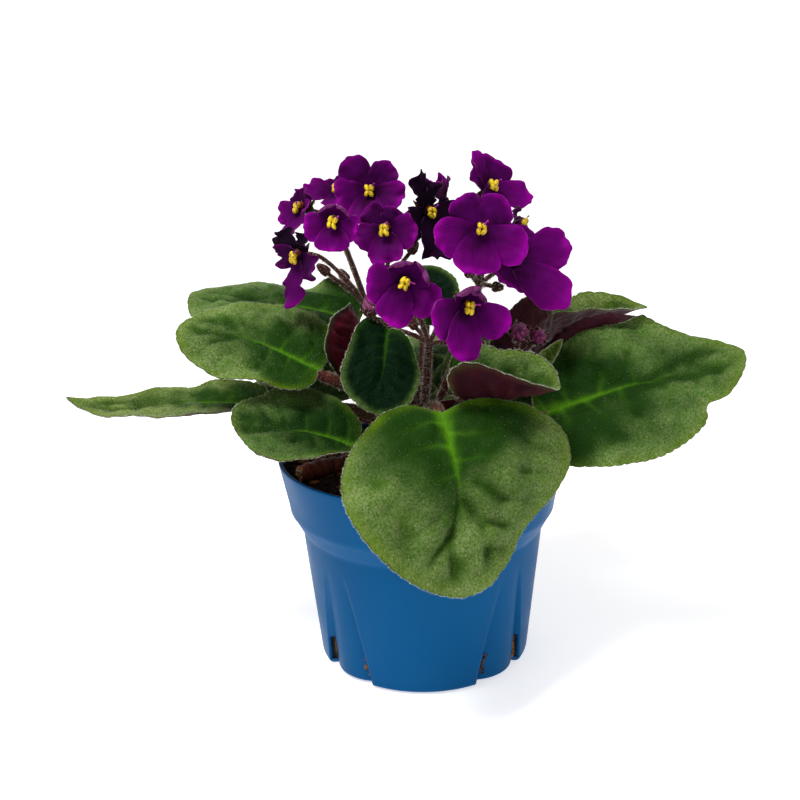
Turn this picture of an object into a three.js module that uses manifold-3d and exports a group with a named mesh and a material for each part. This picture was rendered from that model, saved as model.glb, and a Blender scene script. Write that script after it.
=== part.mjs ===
// Potted african violet: a rosette of hairy heart-shaped leaves with stalks of
// five-petalled blooms, growing in a soil-filled tapered nursery pot.
// Millimetres, +Z up, the pot's underside centre at the origin, -Y is the front.
import * as THREE from "three";
import { mergeVertices } from "three/addons/utils/BufferGeometryUtils.js";
import Module from "manifold-3d";

const wasm = await Module();
wasm.setup();

// ---------------------------------------------------------------- dimensions
// Pot: outer radius at each height, from the foot to the rim. Each flute is a
// hollow panel, widest at the foot, with a step (STEP_TURN degrees) at each side;
// its middle is sunk by the FLUTE_ARCH share of its depth. A drain slot is cut
// SLOT_INSET degrees inside each step.
const POT_PROFILE = [
  { z: 0, r: 43.8 },
  { z: 1.5, r: 45.3 },
  { z: 50, r: 50.2 },
  { z: 58, r: 51.0 },
  { z: 67, r: 55.7 },
  { z: 89, r: 60.0 },
];
const POT_WALL = 1.5;
const POT_FLOOR = 2.2;
const COLLAR_FOOT = 58;
const FLUTE_COUNT = 4;
const FLUTE_TOP = 50;
const FLUTE_DEPTH = 3.6;
const FLUTE_ARCH = 0.12;
const FLUTE_HALF_FOOT = 17;
const FLUTE_HALF_TOP = 5.5;
const STEP_TURN = 0.4;
const PANEL_MARGIN = 4;
const SLOT_WIDTH = 2.2;
const SLOT_BOTTOM = 2.4;
const SLOT_TOP = 14.5;
const SLOT_INSET = 0.9;
const SLOT_CUT = 8;
const SEAT_GAP = 0.3;

// Soil surface and the short stem (crown) all leaves and stalks grow from.
const SOIL_TOP = 83.5;
const SOIL_ROUGHNESS = 1.1;
const SOIL_WAVES = { long: [0.31, 0.27], short: [0.83, -0.66] };
const SOIL_RINGS = [1, 0.75, 0.4];
const CROWN = [{ z: 76, r: 8.5 }, { z: 82, r: 10 }, { z: 92, r: 10.2 }, { z: 99, r: 9 },
  { z: 104, r: 6.5 }];
const CROWN_HOLE = 10.5;
const CROWN_SIDES = 12;
const STALK_CLEARANCE = 0.45;
const STALK_HOLE_LENGTH = 22;

// Leaf blades: thicknesses, margin teeth, the notch at the base, the groove along
// the midrib and the net of rings of points: its shares of the way to the margin.
const BLADE_THICK = 1.7;
const BLADE_EDGE = 0.9;
const TEETH = 20;
const TOOTH_DEPTH = 0.03;
const NOTCH_WIDTH = 0.32;
const NICK = 0.12;
const LOBE_ROUNDNESS = 2.4;
const MARGIN_WAVE = 0.03;
const FOLD_SOFTNESS = 0.1;
const RIB_GROOVE = { depth: 0.08, width: 0.2 };
const TIP_CURL_START = 0.7;
const BLADE_RINGS = [0.36, 0.7, 1];
const MARGIN_POINTS = [{ half: 5, count: 12 }, { half: 12, count: 20 }, { half: 30, count: 28 },
  { half: Infinity, count: 40 }];

// Leaf stems: radii at the crown, at the blade and at the end of the keel; where
// they leave the crown (higher for leaves whose base is above PETIOLE_LOW); how
// they set off and arrive, as shares of their span; places of the keel's points.
const PETIOLE_RADII = [3.2, 2, 0.9];
const PETIOLE_FOOT = 91;
const PETIOLE_OUT = 4;
const PETIOLE_LOW = 108;
const PETIOLE_RISE = { share: 0.3, most: 10 };
const PETIOLE_HANDLES = { out: 0.2, up: 0.32, back: 0.3 };
const PETIOLE_STEPS = 4;
const PETIOLE_SIDES = 5;
const KEEL_PLACES = [0.7, 0.36];
const KEEL_GAP = 0.25;

// One row per leaf. base and tip: [azimuth deg, reach, height] of the notch and
// of the tip. turn: roll, lengthwise bend and twist in degrees. half: half-width
// left and right of the midrib. wide: where along the midrib it is widest.
// lobes: how far the two base lobes reach back. notch: share of the gap between
// them that is open, 1 unless given. point: tip sharpness. lift: cup,
// V-fold, left curl, right curl and tip curl. form: slow departures of the
// outline from the plain heart (cosine and sine of 2, 3 and 4 turns).
const LEAVES = [
  { name: "leaf_front", base: [-80, 51, 120], tip: [-77, 82, 62], turn: [-6, 54, -27],
    half: [42, 41], wide: 0.35, lobes: [0.12, 0.14], point: 1.9, lift: [-0.11, 0, 0, 0, 0],
    form: [-0.02, -0.05, 0.01, -0.04, 0.04, 0.04], phase: 0.3, notch: 0.35 },
  { name: "leaf_right", base: [-19, 55, 112], tip: [-5.5, 129, 132], turn: [-39, 7, -7],
    half: [31, 32], wide: 0.4, lobes: [0.11, 0.28], point: 1.5, lift: [-0.06, 0, 0.12, -0.11, 0],
    form: [-0.03, -0.03, 0, -0.02, 0.03, 0], phase: 1.1, nick: -38, notch: 0.3 },
  { name: "leaf_right_high", base: [33, 56, 123], tip: [15, 100, 143], turn: [10, 34, 23],
    half: [8, 19], wide: 0.39, lobes: [0.14, 0.14], point: 1.3, lift: [0.32, 0.55, 0, 0, 0],
    form: [0.03, 0.04, 0.02, 0.01, 0, 0], phase: 2 },
  { name: "leaf_right_cupped", base: [-62.5, 38.6, 119.4], tip: [-45, 70, 128], turn: [-9, 26, -1],
    half: [13, 17], wide: 0.37, lobes: [0.26, 0.01], point: 1.8, lift: [0.39, 0.74, -0.03, 0.07, 0],
    form: [-0.02, -0.06, 0.05, 0.09, 0, 0], phase: 0.7 },
  { name: "leaf_centre_hanging", base: [-116, 27, 146], tip: [-109, 48, 118], turn: [16, 20, 0],
    half: [13, 15], wide: 0.49, lobes: [0.02, 0.19], point: 2, lift: [0.1, 0, 0, 0, 0],
    form: [-0.01, 0.02, -0.06, 0, 0.02, 0.01], phase: 2.4 },
  { name: "leaf_left_upright", base: [-166, 29, 124], tip: [-157, 33, 155], turn: [210, -26, 0],
    half: [20, 17], wide: 0.42, lobes: [0.14, 0.14], point: 1.9, lift: [0.13, 0, 0, 0, 0],
    form: [-0.08, -0.09, -0.06, -0.06, -0.03, 0.06], phase: 0.9 },
  { name: "leaf_left", base: [-145, 52, 136], tip: [-166, 93, 152], turn: [27, 21, 2],
    half: [21, 24], wide: 0.33, lobes: [0.15, 0.19], point: 2, lift: [-0.07, 0, 0, 0, 0],
    form: [-0.03, 0.11, -0.01, 0.07, 0, -0.03], phase: 1.9, notch: 0.3 },
  { name: "leaf_left_back", base: [140, 36, 143], tip: [162, 107, 151], turn: [6, 14, -1],
    half: [36, 24], wide: 0.47, lobes: [0.1, 0.1], point: 2.1, lift: [-0.05, 0, 0, 0, 0],
    form: [-0.08, -0.01, 0, 0.01, 0.01, -0.03], phase: 0.2, notch: 0.3 },
  { name: "leaf_far_left", base: [-173, 64, 114], tip: [-177, 143, 111], turn: [5, 10, -4],
    half: [21, 13], wide: 0.34, lobes: [0.14, 0.14], point: 1.4, lift: [0.15, 0, 0.03, 0.01, 0.3],
    form: [-0.02, 0.11, 0.04, -0.05, -0.01, 0], phase: 1.4 },
  { name: "leaf_front_left", base: [-121, 51, 109], tip: [-144, 86, 119], turn: [19, 17, -3],
    half: [22, 20], wide: 0.52, lobes: [0.02, 0.13], point: 1.8, lift: [0, 0.19, 0, 0, 0],
    form: [-0.03, 0.06, -0.02, -0.03, 0.03, -0.05], phase: 2.9, notch: 0.4 },
  { name: "leaf_back_left", base: [135, 36, 115], tip: [150, 84, 122], turn: [26, 18, 0],
    half: [24, 24], wide: 0.42, lobes: [0.14, 0.14], point: 1.9, lift: [0.08, 0, 0, 0, 0],
    form: [0, 0.02, 0, 0.02, 0, 0], phase: 0.5 },
  { name: "leaf_back_upright", base: [84, 26, 138], tip: [84, 54, 158], turn: [0, 20, 0],
    half: [14, 14], wide: 0.42, lobes: [0.14, 0.14], point: 1.9, lift: [0.08, 0, 0, 0, 0],
    form: [0, -0.02, 0, 0.02, 0, 0], phase: 2.2 },
  { name: "leaf_right_upright", base: [-6, 37, 121], tip: [5, 51, 152], turn: [80, -12, 0],
    half: [17, 17], wide: 0.42, lobes: [0.14, 0.14], point: 1.9, lift: [0.15, 0, 0, 0, 0],
    form: [0, 0.02, 0, -0.02, 0, 0], phase: 1.3 },
  { name: "leaf_right_inner", base: [30, 19, 112], tip: [22, 30, 140], turn: [-50, 10, 0],
    half: [10, 10], wide: 0.42, lobes: [0.12, 0.12], point: 1.7, lift: [0.15, 0, 0, 0, 0],
    form: [0, 0.03, 0, 0.02, 0, 0], phase: 1.6 },
  { name: "leaf_right_young", base: [-15, 45, 122], tip: [-7, 58, 137], turn: [-50, 10, 0],
    half: [3.5, 3.5], wide: 0.4, lobes: [0.05, 0.05], point: 1.4, lift: [0.1, 0, 0, 0, 0],
    form: [0, 0, 0, 0, 0, 0], phase: 0.4 },
  { name: "leaf_back", base: [95, 44, 116], tip: [96, 108, 112], turn: [0, 24, 0],
    half: [30, 30], wide: 0.42, lobes: [0.14, 0.14], point: 1.9, lift: [0.08, 0, 0, 0, 0],
    form: [0, 0.03, 0, 0.02, 0, 0], phase: 2.7 },
  { name: "leaf_back_right_low", base: [58, 48, 107], tip: [48, 112, 100], turn: [4, 22, 0],
    half: [27, 27], wide: 0.42, lobes: [0.14, 0.14], point: 1.9, lift: [0.08, 0, 0, 0, 0],
    form: [0, -0.03, 0, 0.02, 0, 0], phase: 0.8 },
  { name: "leaf_back_left_low", base: [160, 46, 106], tip: [148, 106, 101], turn: [0, 22, 0],
    half: [26, 26], wide: 0.42, lobes: [0.14, 0.14], point: 1.9, lift: [0.08, 0, 0, 0, 0],
    form: [0, 0.02, 0, -0.02, 0, 0], phase: 1.7 },
];

// Petals of a bloom: direction in its plane (deg), length and width as shares of
// the bloom's size, and which layer the petal lies in.
const PETALS = [
  { turn: 123, length: 0.74, width: 0.8, layer: -0.95 },
  { turn: 57, length: 0.74, width: 0.8, layer: -0.95 },
  { turn: 196, length: 1, width: 0.98, layer: 0 },
  { turn: -16, length: 1, width: 0.98, layer: 0 },
  { turn: 270, length: 0.98, width: 1.05, layer: 0.95 },
];
const PETAL_THICK = 0.7;
const PETAL_CLAW = 0.18;
const PETAL_WIDEST = 0.62;
const PETAL_SEAT = 1.6;
const THROAT_RADIUS = 2.3;
const THROAT_BACK = 0.5;
const THROAT_FRONT = 3.1;
const ANTHER_HEIGHT = 5.2;
const ANTHER_RADIUS = 2.6;
const ANTHER_CREASE = 0.38;
const ANTHER_RINGS = [{ height: 0.75, share: 0.62 }, { height: 0, share: 1 },
  { height: -1.05, share: 0.6 }];

// One row per bloom. at: throat centre. face: yaw, pitch and roll in degrees.
// size: lower petal length. cup: forward tilt of the petals. long, broad: share
// of the plain petal's length and width; swing: extra turn in the plane;
// curl: forward roll of the two upper petals.
const BLOOMS = [
  { at: [-31, -22, 187], face: [0, 8, -7], size: 11.2, cup: 6, long: [1.13, 1.15, 1, 0.88, 1],
    broad: [1, 1, 1.04, 1.06, 1.15], swing: [-3, 0, 2, -1, 4], curl: 0.9, anthers: true },
  { at: [-18, 4, 195], face: [-3, 19, -6], size: 15.5, cup: 19, long: [1.41, 1.26, 0.94, 1, 1],
    broad: [1.22, 1.05, 1, 1, 1], swing: [10, -1, 1, 4, 0], curl: 0, anthers: true },
  { at: [-31, 20, 193], face: [-21, 46, 5], size: 14.3, cup: 21, long: [0.81, 1, 1.03, 1, 0.93],
    broad: [1, 1, 0.92, 1, 0.91], swing: [13, 0, -11, 0, 10], curl: 0, anthers: true },
  { at: [-43, 0, 190], face: [-52, 12, -1], size: 11.7, cup: 20, long: [0.94, 1.04, 1.06, 0.83, 1],
    broad: [1, 0.92, 0.9, 1, 1], swing: [-3, 8, 3, 6, 0], curl: 0, anthers: true },
  { at: [-44, -14, 174], face: [-39, -3, 3], size: 12.1, cup: 12, long: [1.5, 1.1, 0.85, 1, 1.65],
    broad: [1.25, 0.8, 0.9, 1, 0.85], swing: [14, 8, -18, -14, -8], curl: 0, anthers: true },
  { at: [-11, -16, 183], face: [-14, 9, 7], size: 13.1, cup: 10, long: [1.21, 0.94, 0.94, 1, 1.02],
    broad: [1.04, 1, 1, 1.14, 1.1], swing: [5, 0, 0, 7, -3], curl: 0, anthers: true },
  { at: [-5, -40, 167], face: [3, 6, -16], size: 15.4, cup: 4, long: [1.02, 1.14, 0.9, 1, 1.05],
    broad: [1, 1, 1, 0.95, 0.9], swing: [-10, -13, -1, -8, -5], curl: 1, anthers: true },
  { at: [16, -44, 159], face: [26, 1, -7], size: 16.8, cup: 13, long: [1.12, 0.92, 1, 1.1, 1.18],
    broad: [0.96, 1, 1, 0.87, 0.9], swing: [-11, 5, 9, -9, -7], curl: 1.2, anthers: true },
  { at: [23, -26, 183], face: [9, 18, -8], size: 17.6, cup: 5, long: [1.16, 1.17, 1, 1.1, 1],
    broad: [0.92, 1.05, 0.93, 0.9, 1], swing: [4, 0, 3, -5, -5], curl: 0, anthers: true },
  { at: [29, 6, 196], face: [37, 28, -4], size: 14.9, cup: 13, long: [1.1, 1.13, 1.3, 1.2, 1],
    broad: [1, 1.05, 0.5, 0.86, 0.97], swing: [0, 11, -84, -4, -14], curl: 0, anthers: true },
  { at: [37, -4, 167], face: [23, 19, 41], size: 21.5, cup: 18, long: [0.6, 1, 0.54, 1.1, 1.23],
    broad: [0.95, 1.03, 1, 0.91, 0.91], swing: [-4, -12, -10, -11, -1], curl: 0, anthers: false },
  { at: [3, -3, 188], face: [38, 4, 0], size: 14, cup: 14, long: [1.62, 1.2, 1, 1, 1.15],
    broad: [0.75, 0.7, 1, 1, 1.2], swing: [-16, 20, 0, 0, 0], curl: 0, anthers: true },
  { at: [12, 14, 189], face: [-60, 62, 0], size: 12, cup: 56, long: [1.3, 1.3, 1, 1, 1],
    broad: [1, 1, 1, 1, 1], swing: [0, 0, 0, 0, 0], curl: 0, anthers: false },
  { at: [38, 3, 181.5], face: [82, 6, 0], size: 9.5, cup: 12, long: [1.1, 1.2, 0.5, 0.7, 0.5],
    broad: [1, 1, 1, 1, 1], swing: [0, 0, 0, 0, 0], curl: 0, anthers: true },
];

// Flower stalks: way points from the crown to the fork, the blooms each carries
// (by number), its small brown calyx buds and the purple buds it holds.
const STALKS = [
  { name: "flower_stalk_left", path: [[-5, -3, 100], [-10, -4, 118], [-17, -6, 138], [-20, -8, 152]],
    blooms: [1, 4, 5], knobs: [[-36, -10, 167], [-29, -1, 163]], buds: [] },
  { name: "flower_stalk_back", path: [[-2, 5, 100], [-4, 6, 118], [-9, 4, 140], [-13, 2, 158]],
    blooms: [2, 3, 6], knobs: [[-2, 8, 172]], buds: [] },
  { name: "flower_stalk_front", path: [[1, -5, 100], [2, -12, 114], [3, -20, 128], [4, -23, 140]],
    blooms: [7, 8], knobs: [[-2, -24, 148], [22, -20.5, 139]], buds: [1] },
  { name: "flower_stalk_right", path: [[5, 2, 100], [11, -1, 118], [19, -6, 140], [24, -10, 160]],
    blooms: [9, 10, 11, 12, 13, 14], knobs: [[30, -19, 161], [20, -16, 166]], buds: [] },
  { name: "bud_stalk_right", path: [[6, -2, 100], [17, -9, 113], [30, -15, 122], [38, -17, 129]],
    blooms: [], knobs: [], buds: [2, 3] },
];
const STALK_RADIUS = [1.7, 1.4];
const PEDICEL_RADIUS = 0.8;
const PEDICEL_RISE = 0.35;
const PEDICEL_HANDLE = 0.3;
const PEDICEL_END = 2.2;
const SEPALS = 5;
const SEPAL_TIP = { reach: 5.5, height: -0.8 };
const SEPAL_VALLEY = { reach: 1.9, height: -0.4 };
const SEPAL_THICK = 0.7;
const CALYX_FRONT = 0.3;
const CALYX_BACK = -3;
const KNOB_RADII = [2.1, 2.1, 3.2];
const BUD_GAP = 0.5;
const BUD_SHAPE = [[0, 0.45], [0.18, 0.9], [0.42, 1], [0.72, 0.62], [1, 0.12]];
const BUDS = [
  { name: "bud_left", at: [-17.5, -22, 152.5], lean: [-0.3, -0.3, 1], radius: 2.6, length: 8 },
  { name: "bud_right", at: [39, -17, 139], lean: [0, -1, 0.5], radius: 3.5, length: 8 },
  { name: "bud_far_right", at: [47.5, -15.3, 137.6], lean: [0.1, -1, 0.4], radius: 2.8, length: 6.5 },
];

// The brown stub of an old leaf stem that lies on the soil.
const STUB_PATH = [[-26, -6, 86.9], [-34, -12, 87.6], [-42, -18, 88], [-48, -23, 87.9]];
const STUB_RADIUS = [3.0, 3.4];

const COLOURS = {
  pot: { color: 0x0a5f9c, roughness: 0.38 },
  soil: { color: 0x35241a, roughness: 1 },
  blade: { color: 0x4f7a2a, roughness: 0.7 },
  stem: { color: 0x4a2420, roughness: 0.75 },
  petal: { color: 0x76128a, roughness: 0.55 },
  anther: { color: 0xe8d21a, roughness: 0.6 },
  bud: { color: 0x6b1a60, roughness: 0.7 },
  stub: { color: 0x5a3524, roughness: 0.85 },
};

// ------------------------------------------------------------------ helpers
const rad = (d) => (d * Math.PI) / 180;
const vec = (a) => new THREE.Vector3(a[0], a[1], a[2]);
const mix = (a, b, t) => a + (b - a) * t;
const clamp = (x, lo, hi) => Math.min(hi, Math.max(lo, x));
const gauss = (x) => Math.exp(-x * x);

function fromPolar([azimuth, reach, height]) {
  return new THREE.Vector3(reach * Math.cos(rad(azimuth)), reach * Math.sin(rad(azimuth)), height);
}

function along(origin, ...steps) {
  const p = origin.clone();
  for (const [direction, amount] of steps) p.addScaledVector(direction, amount);
  return p;
}

// A closed body from points and triangles, turned to face outward.
function body(points, triangles) {
  let volume = 0;
  for (const [a, b, c] of triangles) {
    volume += points[a].dot(new THREE.Vector3().crossVectors(points[b], points[c]));
  }
  const faces = volume < 0 ? triangles.map(([a, b, c]) => [a, c, b]) : triangles;
  return { points, faces };
}

function solid({ points, faces }) {
  const vertProperties = new Float32Array(points.length * 3);
  points.forEach((p, i) => vertProperties.set([p.x, p.y, p.z], 3 * i));
  const triVerts = new Uint32Array(faces.flat());
  return new wasm.Manifold(new wasm.Mesh({ numProp: 3, vertProperties, triVerts }));
}

function geometryOf(manifold) {
  const { numProp, vertProperties, triVerts } = manifold.getMesh();
  const geometry = new THREE.BufferGeometry();
  const positions = new Float32Array((vertProperties.length / numProp) * 3);
  for (let i = 0; i < positions.length / 3; i += 1) {
    positions.set(vertProperties.slice(i * numProp, i * numProp + 3), 3 * i);
  }
  geometry.setAttribute("position", new THREE.BufferAttribute(positions, 3));
  geometry.setIndex(new THREE.BufferAttribute(new Uint32Array(triVerts), 1));
  return geometry;
}

function piece(name, manifold, look) {
  const geometry = geometryOf(manifold);
  geometry.computeVertexNormals();
  const material = new THREE.MeshStandardMaterial({ ...COLOURS[look], metalness: 0 });
  material.name = look;
  const mesh = new THREE.Mesh(geometry, material);
  mesh.name = name;
  return mesh;
}

const join = (parts) => parts.reduce((all, part) => all.add(part));

// A tapered tube with flat ends along points, its sections kept from twisting.
function tube(points, radii, sides) {
  const rings = [];
  let side = new THREE.Vector3(0.31, 0.87, 0.38);
  points.forEach((p, i) => {
    const next = points[Math.min(i + 1, points.length - 1)];
    const last = points[Math.max(i - 1, 0)];
    const ahead = next.clone().sub(last).normalize();
    side = side.clone().addScaledVector(ahead, -side.dot(ahead)).normalize();
    const other = new THREE.Vector3().crossVectors(ahead, side);
    for (let k = 0; k < sides; k += 1) {
      const a = (2 * Math.PI * k) / sides;
      rings.push(along(p, [side, radii[i] * Math.cos(a)], [other, radii[i] * Math.sin(a)]));
    }
  });
  const faces = [];
  for (let i = 0; i + 1 < points.length; i += 1) {
    for (let k = 0; k < sides; k += 1) {
      const a = i * sides + k;
      const b = i * sides + ((k + 1) % sides);
      faces.push([a, b, b + sides], [a, b + sides, a + sides]);
    }
  }
  for (let k = 1; k + 1 < sides; k += 1) {
    const top = (points.length - 1) * sides;
    faces.push([0, k + 1, k], [top, top + k, top + k + 1]);
  }
  return solid(body(rings, faces));
}

function bezier([a, b, c, d], steps) {
  return new THREE.CubicBezierCurve3(a, b, c, d).getPoints(steps);
}

// A sphere stretched to radii along three axes at right angles to each other.
function ellipsoid(centre, axes, radii, around, rings) {
  const sphere = new THREE.SphereGeometry(1, around, rings);
  const stretched = axes.map((axis, i) => axis.clone().multiplyScalar(radii[i]));
  sphere.applyMatrix4(new THREE.Matrix4().makeBasis(...stretched).setPosition(centre));
  sphere.deleteAttribute("normal");
  sphere.deleteAttribute("uv");
  const merged = mergeVertices(sphere, 1e-4);
  const { position } = merged.attributes;
  const points = Array.from({ length: position.count }, (_, i) =>
    new THREE.Vector3().fromBufferAttribute(position, i));
  const corners = Array.from(merged.index.array);
  const faces = corners.flatMap((a, i) => (i % 3 ? [] : [[a, corners[i + 1], corners[i + 2]]]));
  return solid(body(points, faces));
}

// Vertex normals of an open sheet, each the sum of its triangles' normals.
function sheetNormals(points, faces) {
  const normals = points.map(() => new THREE.Vector3());
  for (const face of faces) {
    const [a, b, c] = face.map((i) => points[i]);
    const n = new THREE.Vector3().crossVectors(b.clone().sub(a), c.clone().sub(a));
    for (const i of face) normals[i].add(n);
  }
  return normals.map((n) => n.normalize());
}

// A plate from a sheet: both faces share its triangles, a rim joins their edges.
function plate(points, faces, rim, thickness) {
  const normals = sheetNormals(points, faces);
  const count = points.length;
  const front = points.map((p, i) => along(p, [normals[i], thickness[i] / 2]));
  const back = points.map((p, i) => along(p, [normals[i], -thickness[i] / 2]));
  const all = faces.concat(faces.map(([a, b, c]) => [a + count, c + count, b + count]));
  rim.forEach((a, i) => {
    const b = rim[(i + 1) % rim.length];
    all.push([a, a + count, b + count], [a, b + count, b]);
  });
  return solid(body(front.concat(back), all));
}

// ---------------------------------------------------------------------- pot
function profileRadius(z) {
  const rows = POT_PROFILE;
  const i = clamp(rows.findIndex((row) => row.z >= z), 1, rows.length - 1);
  const t = (z - rows[i - 1].z) / (rows[i].z - rows[i - 1].z);
  return mix(rows[i - 1].r, rows[i].r, t);
}

// Columns follow the slanting edges of the flutes below FLUTE_TOP and spread
// evenly above it. Those on a flute carry their place across it (-1..1).
function potColumns(z) {
  const level = clamp(1 - z / FLUTE_TOP, 0, 1);
  const half = mix(FLUTE_HALF_TOP, FLUTE_HALF_FOOT, level);
  const quarter = 180 / FLUTE_COUNT;
  const places = [
    ...[0, 0.5, 1].map((t) => ({ turn: mix(PANEL_MARGIN - quarter, -half, t) })),
    ...[-1, -0.5, 0, 0.5, 1].map((across) => ({ turn: across * (half - STEP_TURN), across })),
    ...[0, 1 / 3, 2 / 3, 1].map((t) => ({ turn: mix(half, quarter - PANEL_MARGIN, t) })),
  ];
  const even = clamp((z - FLUTE_TOP) / (COLLAR_FOOT - FLUTE_TOP), 0, 1);
  const columns = [];
  for (let f = 0; f < FLUTE_COUNT; f += 1) {
    places.forEach(({ turn, across }, k) => {
      const spread = 2 * quarter * ((k + 0.5) / places.length - 0.5);
      columns.push({ angle: quarter * (2 * f + 1) + mix(turn, spread, even), across });
    });
  }
  return columns;
}

function potRing(z, inset) {
  const depth = FLUTE_DEPTH * clamp(1 - z / FLUTE_TOP, 0, 1);
  return potColumns(z).map(({ angle, across }) => {
    const sunk = across === undefined ? 0 : depth * mix(FLUTE_ARCH, 1, across * across);
    return fromPolar([angle, profileRadius(z) - sunk - inset, z]);
  });
}

// A closed stack of rings with flat lids.
function ringStack(rings) {
  const n = rings[0].length;
  const points = rings.flat();
  const faces = [];
  for (let i = 0; i + 1 < rings.length; i += 1) {
    for (let k = 0; k < n; k += 1) {
      const a = i * n + k;
      const b = i * n + ((k + 1) % n);
      faces.push([a, b, b + n], [a, b + n, a + n]);
    }
  }
  const low = points.length;
  const top = (rings.length - 1) * n;
  const centre = (ring) => ring.reduce((s, p) => s.add(p), new THREE.Vector3()).divideScalar(n);
  points.push(centre(rings[0]), centre(rings[rings.length - 1]));
  for (let k = 0; k < n; k += 1) {
    const next = (k + 1) % n;
    faces.push([low, next, k], [low + 1, top + k, top + next]);
  }
  return solid(body(points, faces));
}

function makePot() {
  const heights = POT_PROFILE.map((row) => row.z);
  const outside = ringStack(heights.map((z) => potRing(z, 0)));
  const hollow = [POT_FLOOR, ...heights.filter((z) => z > POT_FLOOR)];
  const inner = hollow.map((z) => potRing(z, POT_WALL));
  const rim = inner[inner.length - 1].map((p) => new THREE.Vector3(p.x, p.y, p.z + POT_WALL));
  let pot = outside.subtract(ringStack([...inner, rim]));
  for (let f = 0; f < FLUTE_COUNT; f += 1) {
    const centre = (180 / FLUTE_COUNT) * (2 * f + 1);
    for (const edge of [-1, 1]) pot = pot.subtract(drainSlot(centre, edge));
  }
  return pot;
}

// A slot through the wall at the foot of a flute's stepped edge.
function drainSlot(centre, edge) {
  const corners = [];
  for (const z of [SLOT_BOTTOM, SLOT_TOP]) {
    const half = mix(FLUTE_HALF_TOP, FLUTE_HALF_FOOT, 1 - z / FLUTE_TOP);
    const middle = centre + edge * (half - SLOT_INSET);
    const reach = profileRadius(z);
    const spread = (SLOT_WIDTH / 2 / reach) * (180 / Math.PI);
    for (const [side, way] of [[-1, -1], [1, -1], [1, 1], [-1, 1]]) {
      corners.push(fromPolar([middle + side * spread, reach + way * SLOT_CUT, z]));
    }
  }
  const faces = [[0, 1, 2], [0, 2, 3], [4, 6, 5], [4, 7, 6]];
  for (let k = 0; k < 4; k += 1) {
    const n = (k + 1) % 4;
    faces.push([k, k + 4, n + 4], [k, n + 4, n]);
  }
  return solid(body(corners, faces));
}

// --------------------------------------------------------------------- soil
function soilHeight(x, y) {
  const { long, short } = SOIL_WAVES;
  const hills = Math.sin(long[0] * x + 1.3) * Math.cos(long[1] * y - 0.4);
  const furrows = Math.sin(short[0] * x + short[1] * y);
  return SOIL_TOP + SOIL_ROUGHNESS * (hills + furrows / 2);
}

function makeSoil() {
  const rings = [POT_FLOOR + SEAT_GAP, FLUTE_TOP, COLLAR_FOOT].map((z) =>
    potRing(z, POT_WALL + SEAT_GAP));
  const edge = potRing(SOIL_TOP, POT_WALL + SEAT_GAP);
  for (const share of SOIL_RINGS) {
    rings.push(edge.map((p) => {
      const x = p.x * share;
      const y = p.y * share;
      return new THREE.Vector3(x, y, soilHeight(x, y));
    }));
  }
  const up = new THREE.Vector3(0, 0, 1);
  const foot = new THREE.Vector3(0, 0, CROWN[0].z - SEAT_GAP);
  const hole = tube([foot, along(foot, [up, SOIL_TOP])], [CROWN_HOLE, CROWN_HOLE], 16);
  return ringStack(rings).subtract(hole);
}

// ------------------------------------------------------------------- leaves
// Distance from the blade's middle to its margin in direction phi (0 = tip).
function marginReach(leaf, length, phi) {
  const middle = leaf.wide * length;
  const left = phi > 0 ? 0 : 1;
  const lobe = leaf.lobes[left] * length;
  const towardTip = Math.cos(phi) > 0;
  const a = towardTip ? length - middle : middle + lobe;
  const p = towardTip ? leaf.point : LOBE_ROUNDNESS;
  let r = (Math.abs(Math.cos(phi) / a) ** p + Math.abs(Math.sin(phi) / leaf.half[left]) ** p)
    ** (-1 / p);
  const notch = gauss((Math.PI - Math.abs(phi)) / NOTCH_WIDTH);
  r -= (leaf.notch ?? 1) * notch * lobe;
  const f = leaf.form;
  r *= 1 + f[0] * Math.cos(2 * phi) + f[1] * Math.sin(2 * phi) + f[2] * Math.cos(3 * phi)
    + f[3] * Math.sin(3 * phi) + f[4] * Math.cos(4 * phi) + f[5] * Math.sin(4 * phi);
  r *= 1 + TOOTH_DEPTH * (1 - notch) * (Math.abs(Math.sin((TEETH * phi) / 2)) - 0.5);
  if (leaf.nick) r *= 1 - NICK * gauss((phi - rad(leaf.nick)) / NICK);
  return r;
}

// The leaf's own axes: base point, chord toward the tip, left side and upward.
function leafAxes(leaf) {
  const base = fromPolar(leaf.base);
  const chord = fromPolar(leaf.tip).sub(base);
  const span = chord.length();
  const ahead = chord.normalize();
  let up = new THREE.Vector3(0, 0, 1);
  if (Math.abs(ahead.z) > 0.9) {
    up = new THREE.Vector3(-base.x, -base.y, 0.3 * Math.hypot(base.x, base.y)).normalize();
  }
  up = up.addScaledVector(ahead, -up.dot(ahead)).normalize();
  const left = new THREE.Vector3().crossVectors(up, ahead);
  const roll = rad(leaf.turn[0]);
  const normal = along(new THREE.Vector3(), [up, Math.cos(roll)], [left, Math.sin(roll)]);
  const side = new THREE.Vector3().crossVectors(normal, ahead);
  const bend = rad(leaf.turn[1]);
  return { base, ahead, side, normal, bend, length: (span * bend) / 2 / Math.sin(bend / 2) };
}

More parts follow.
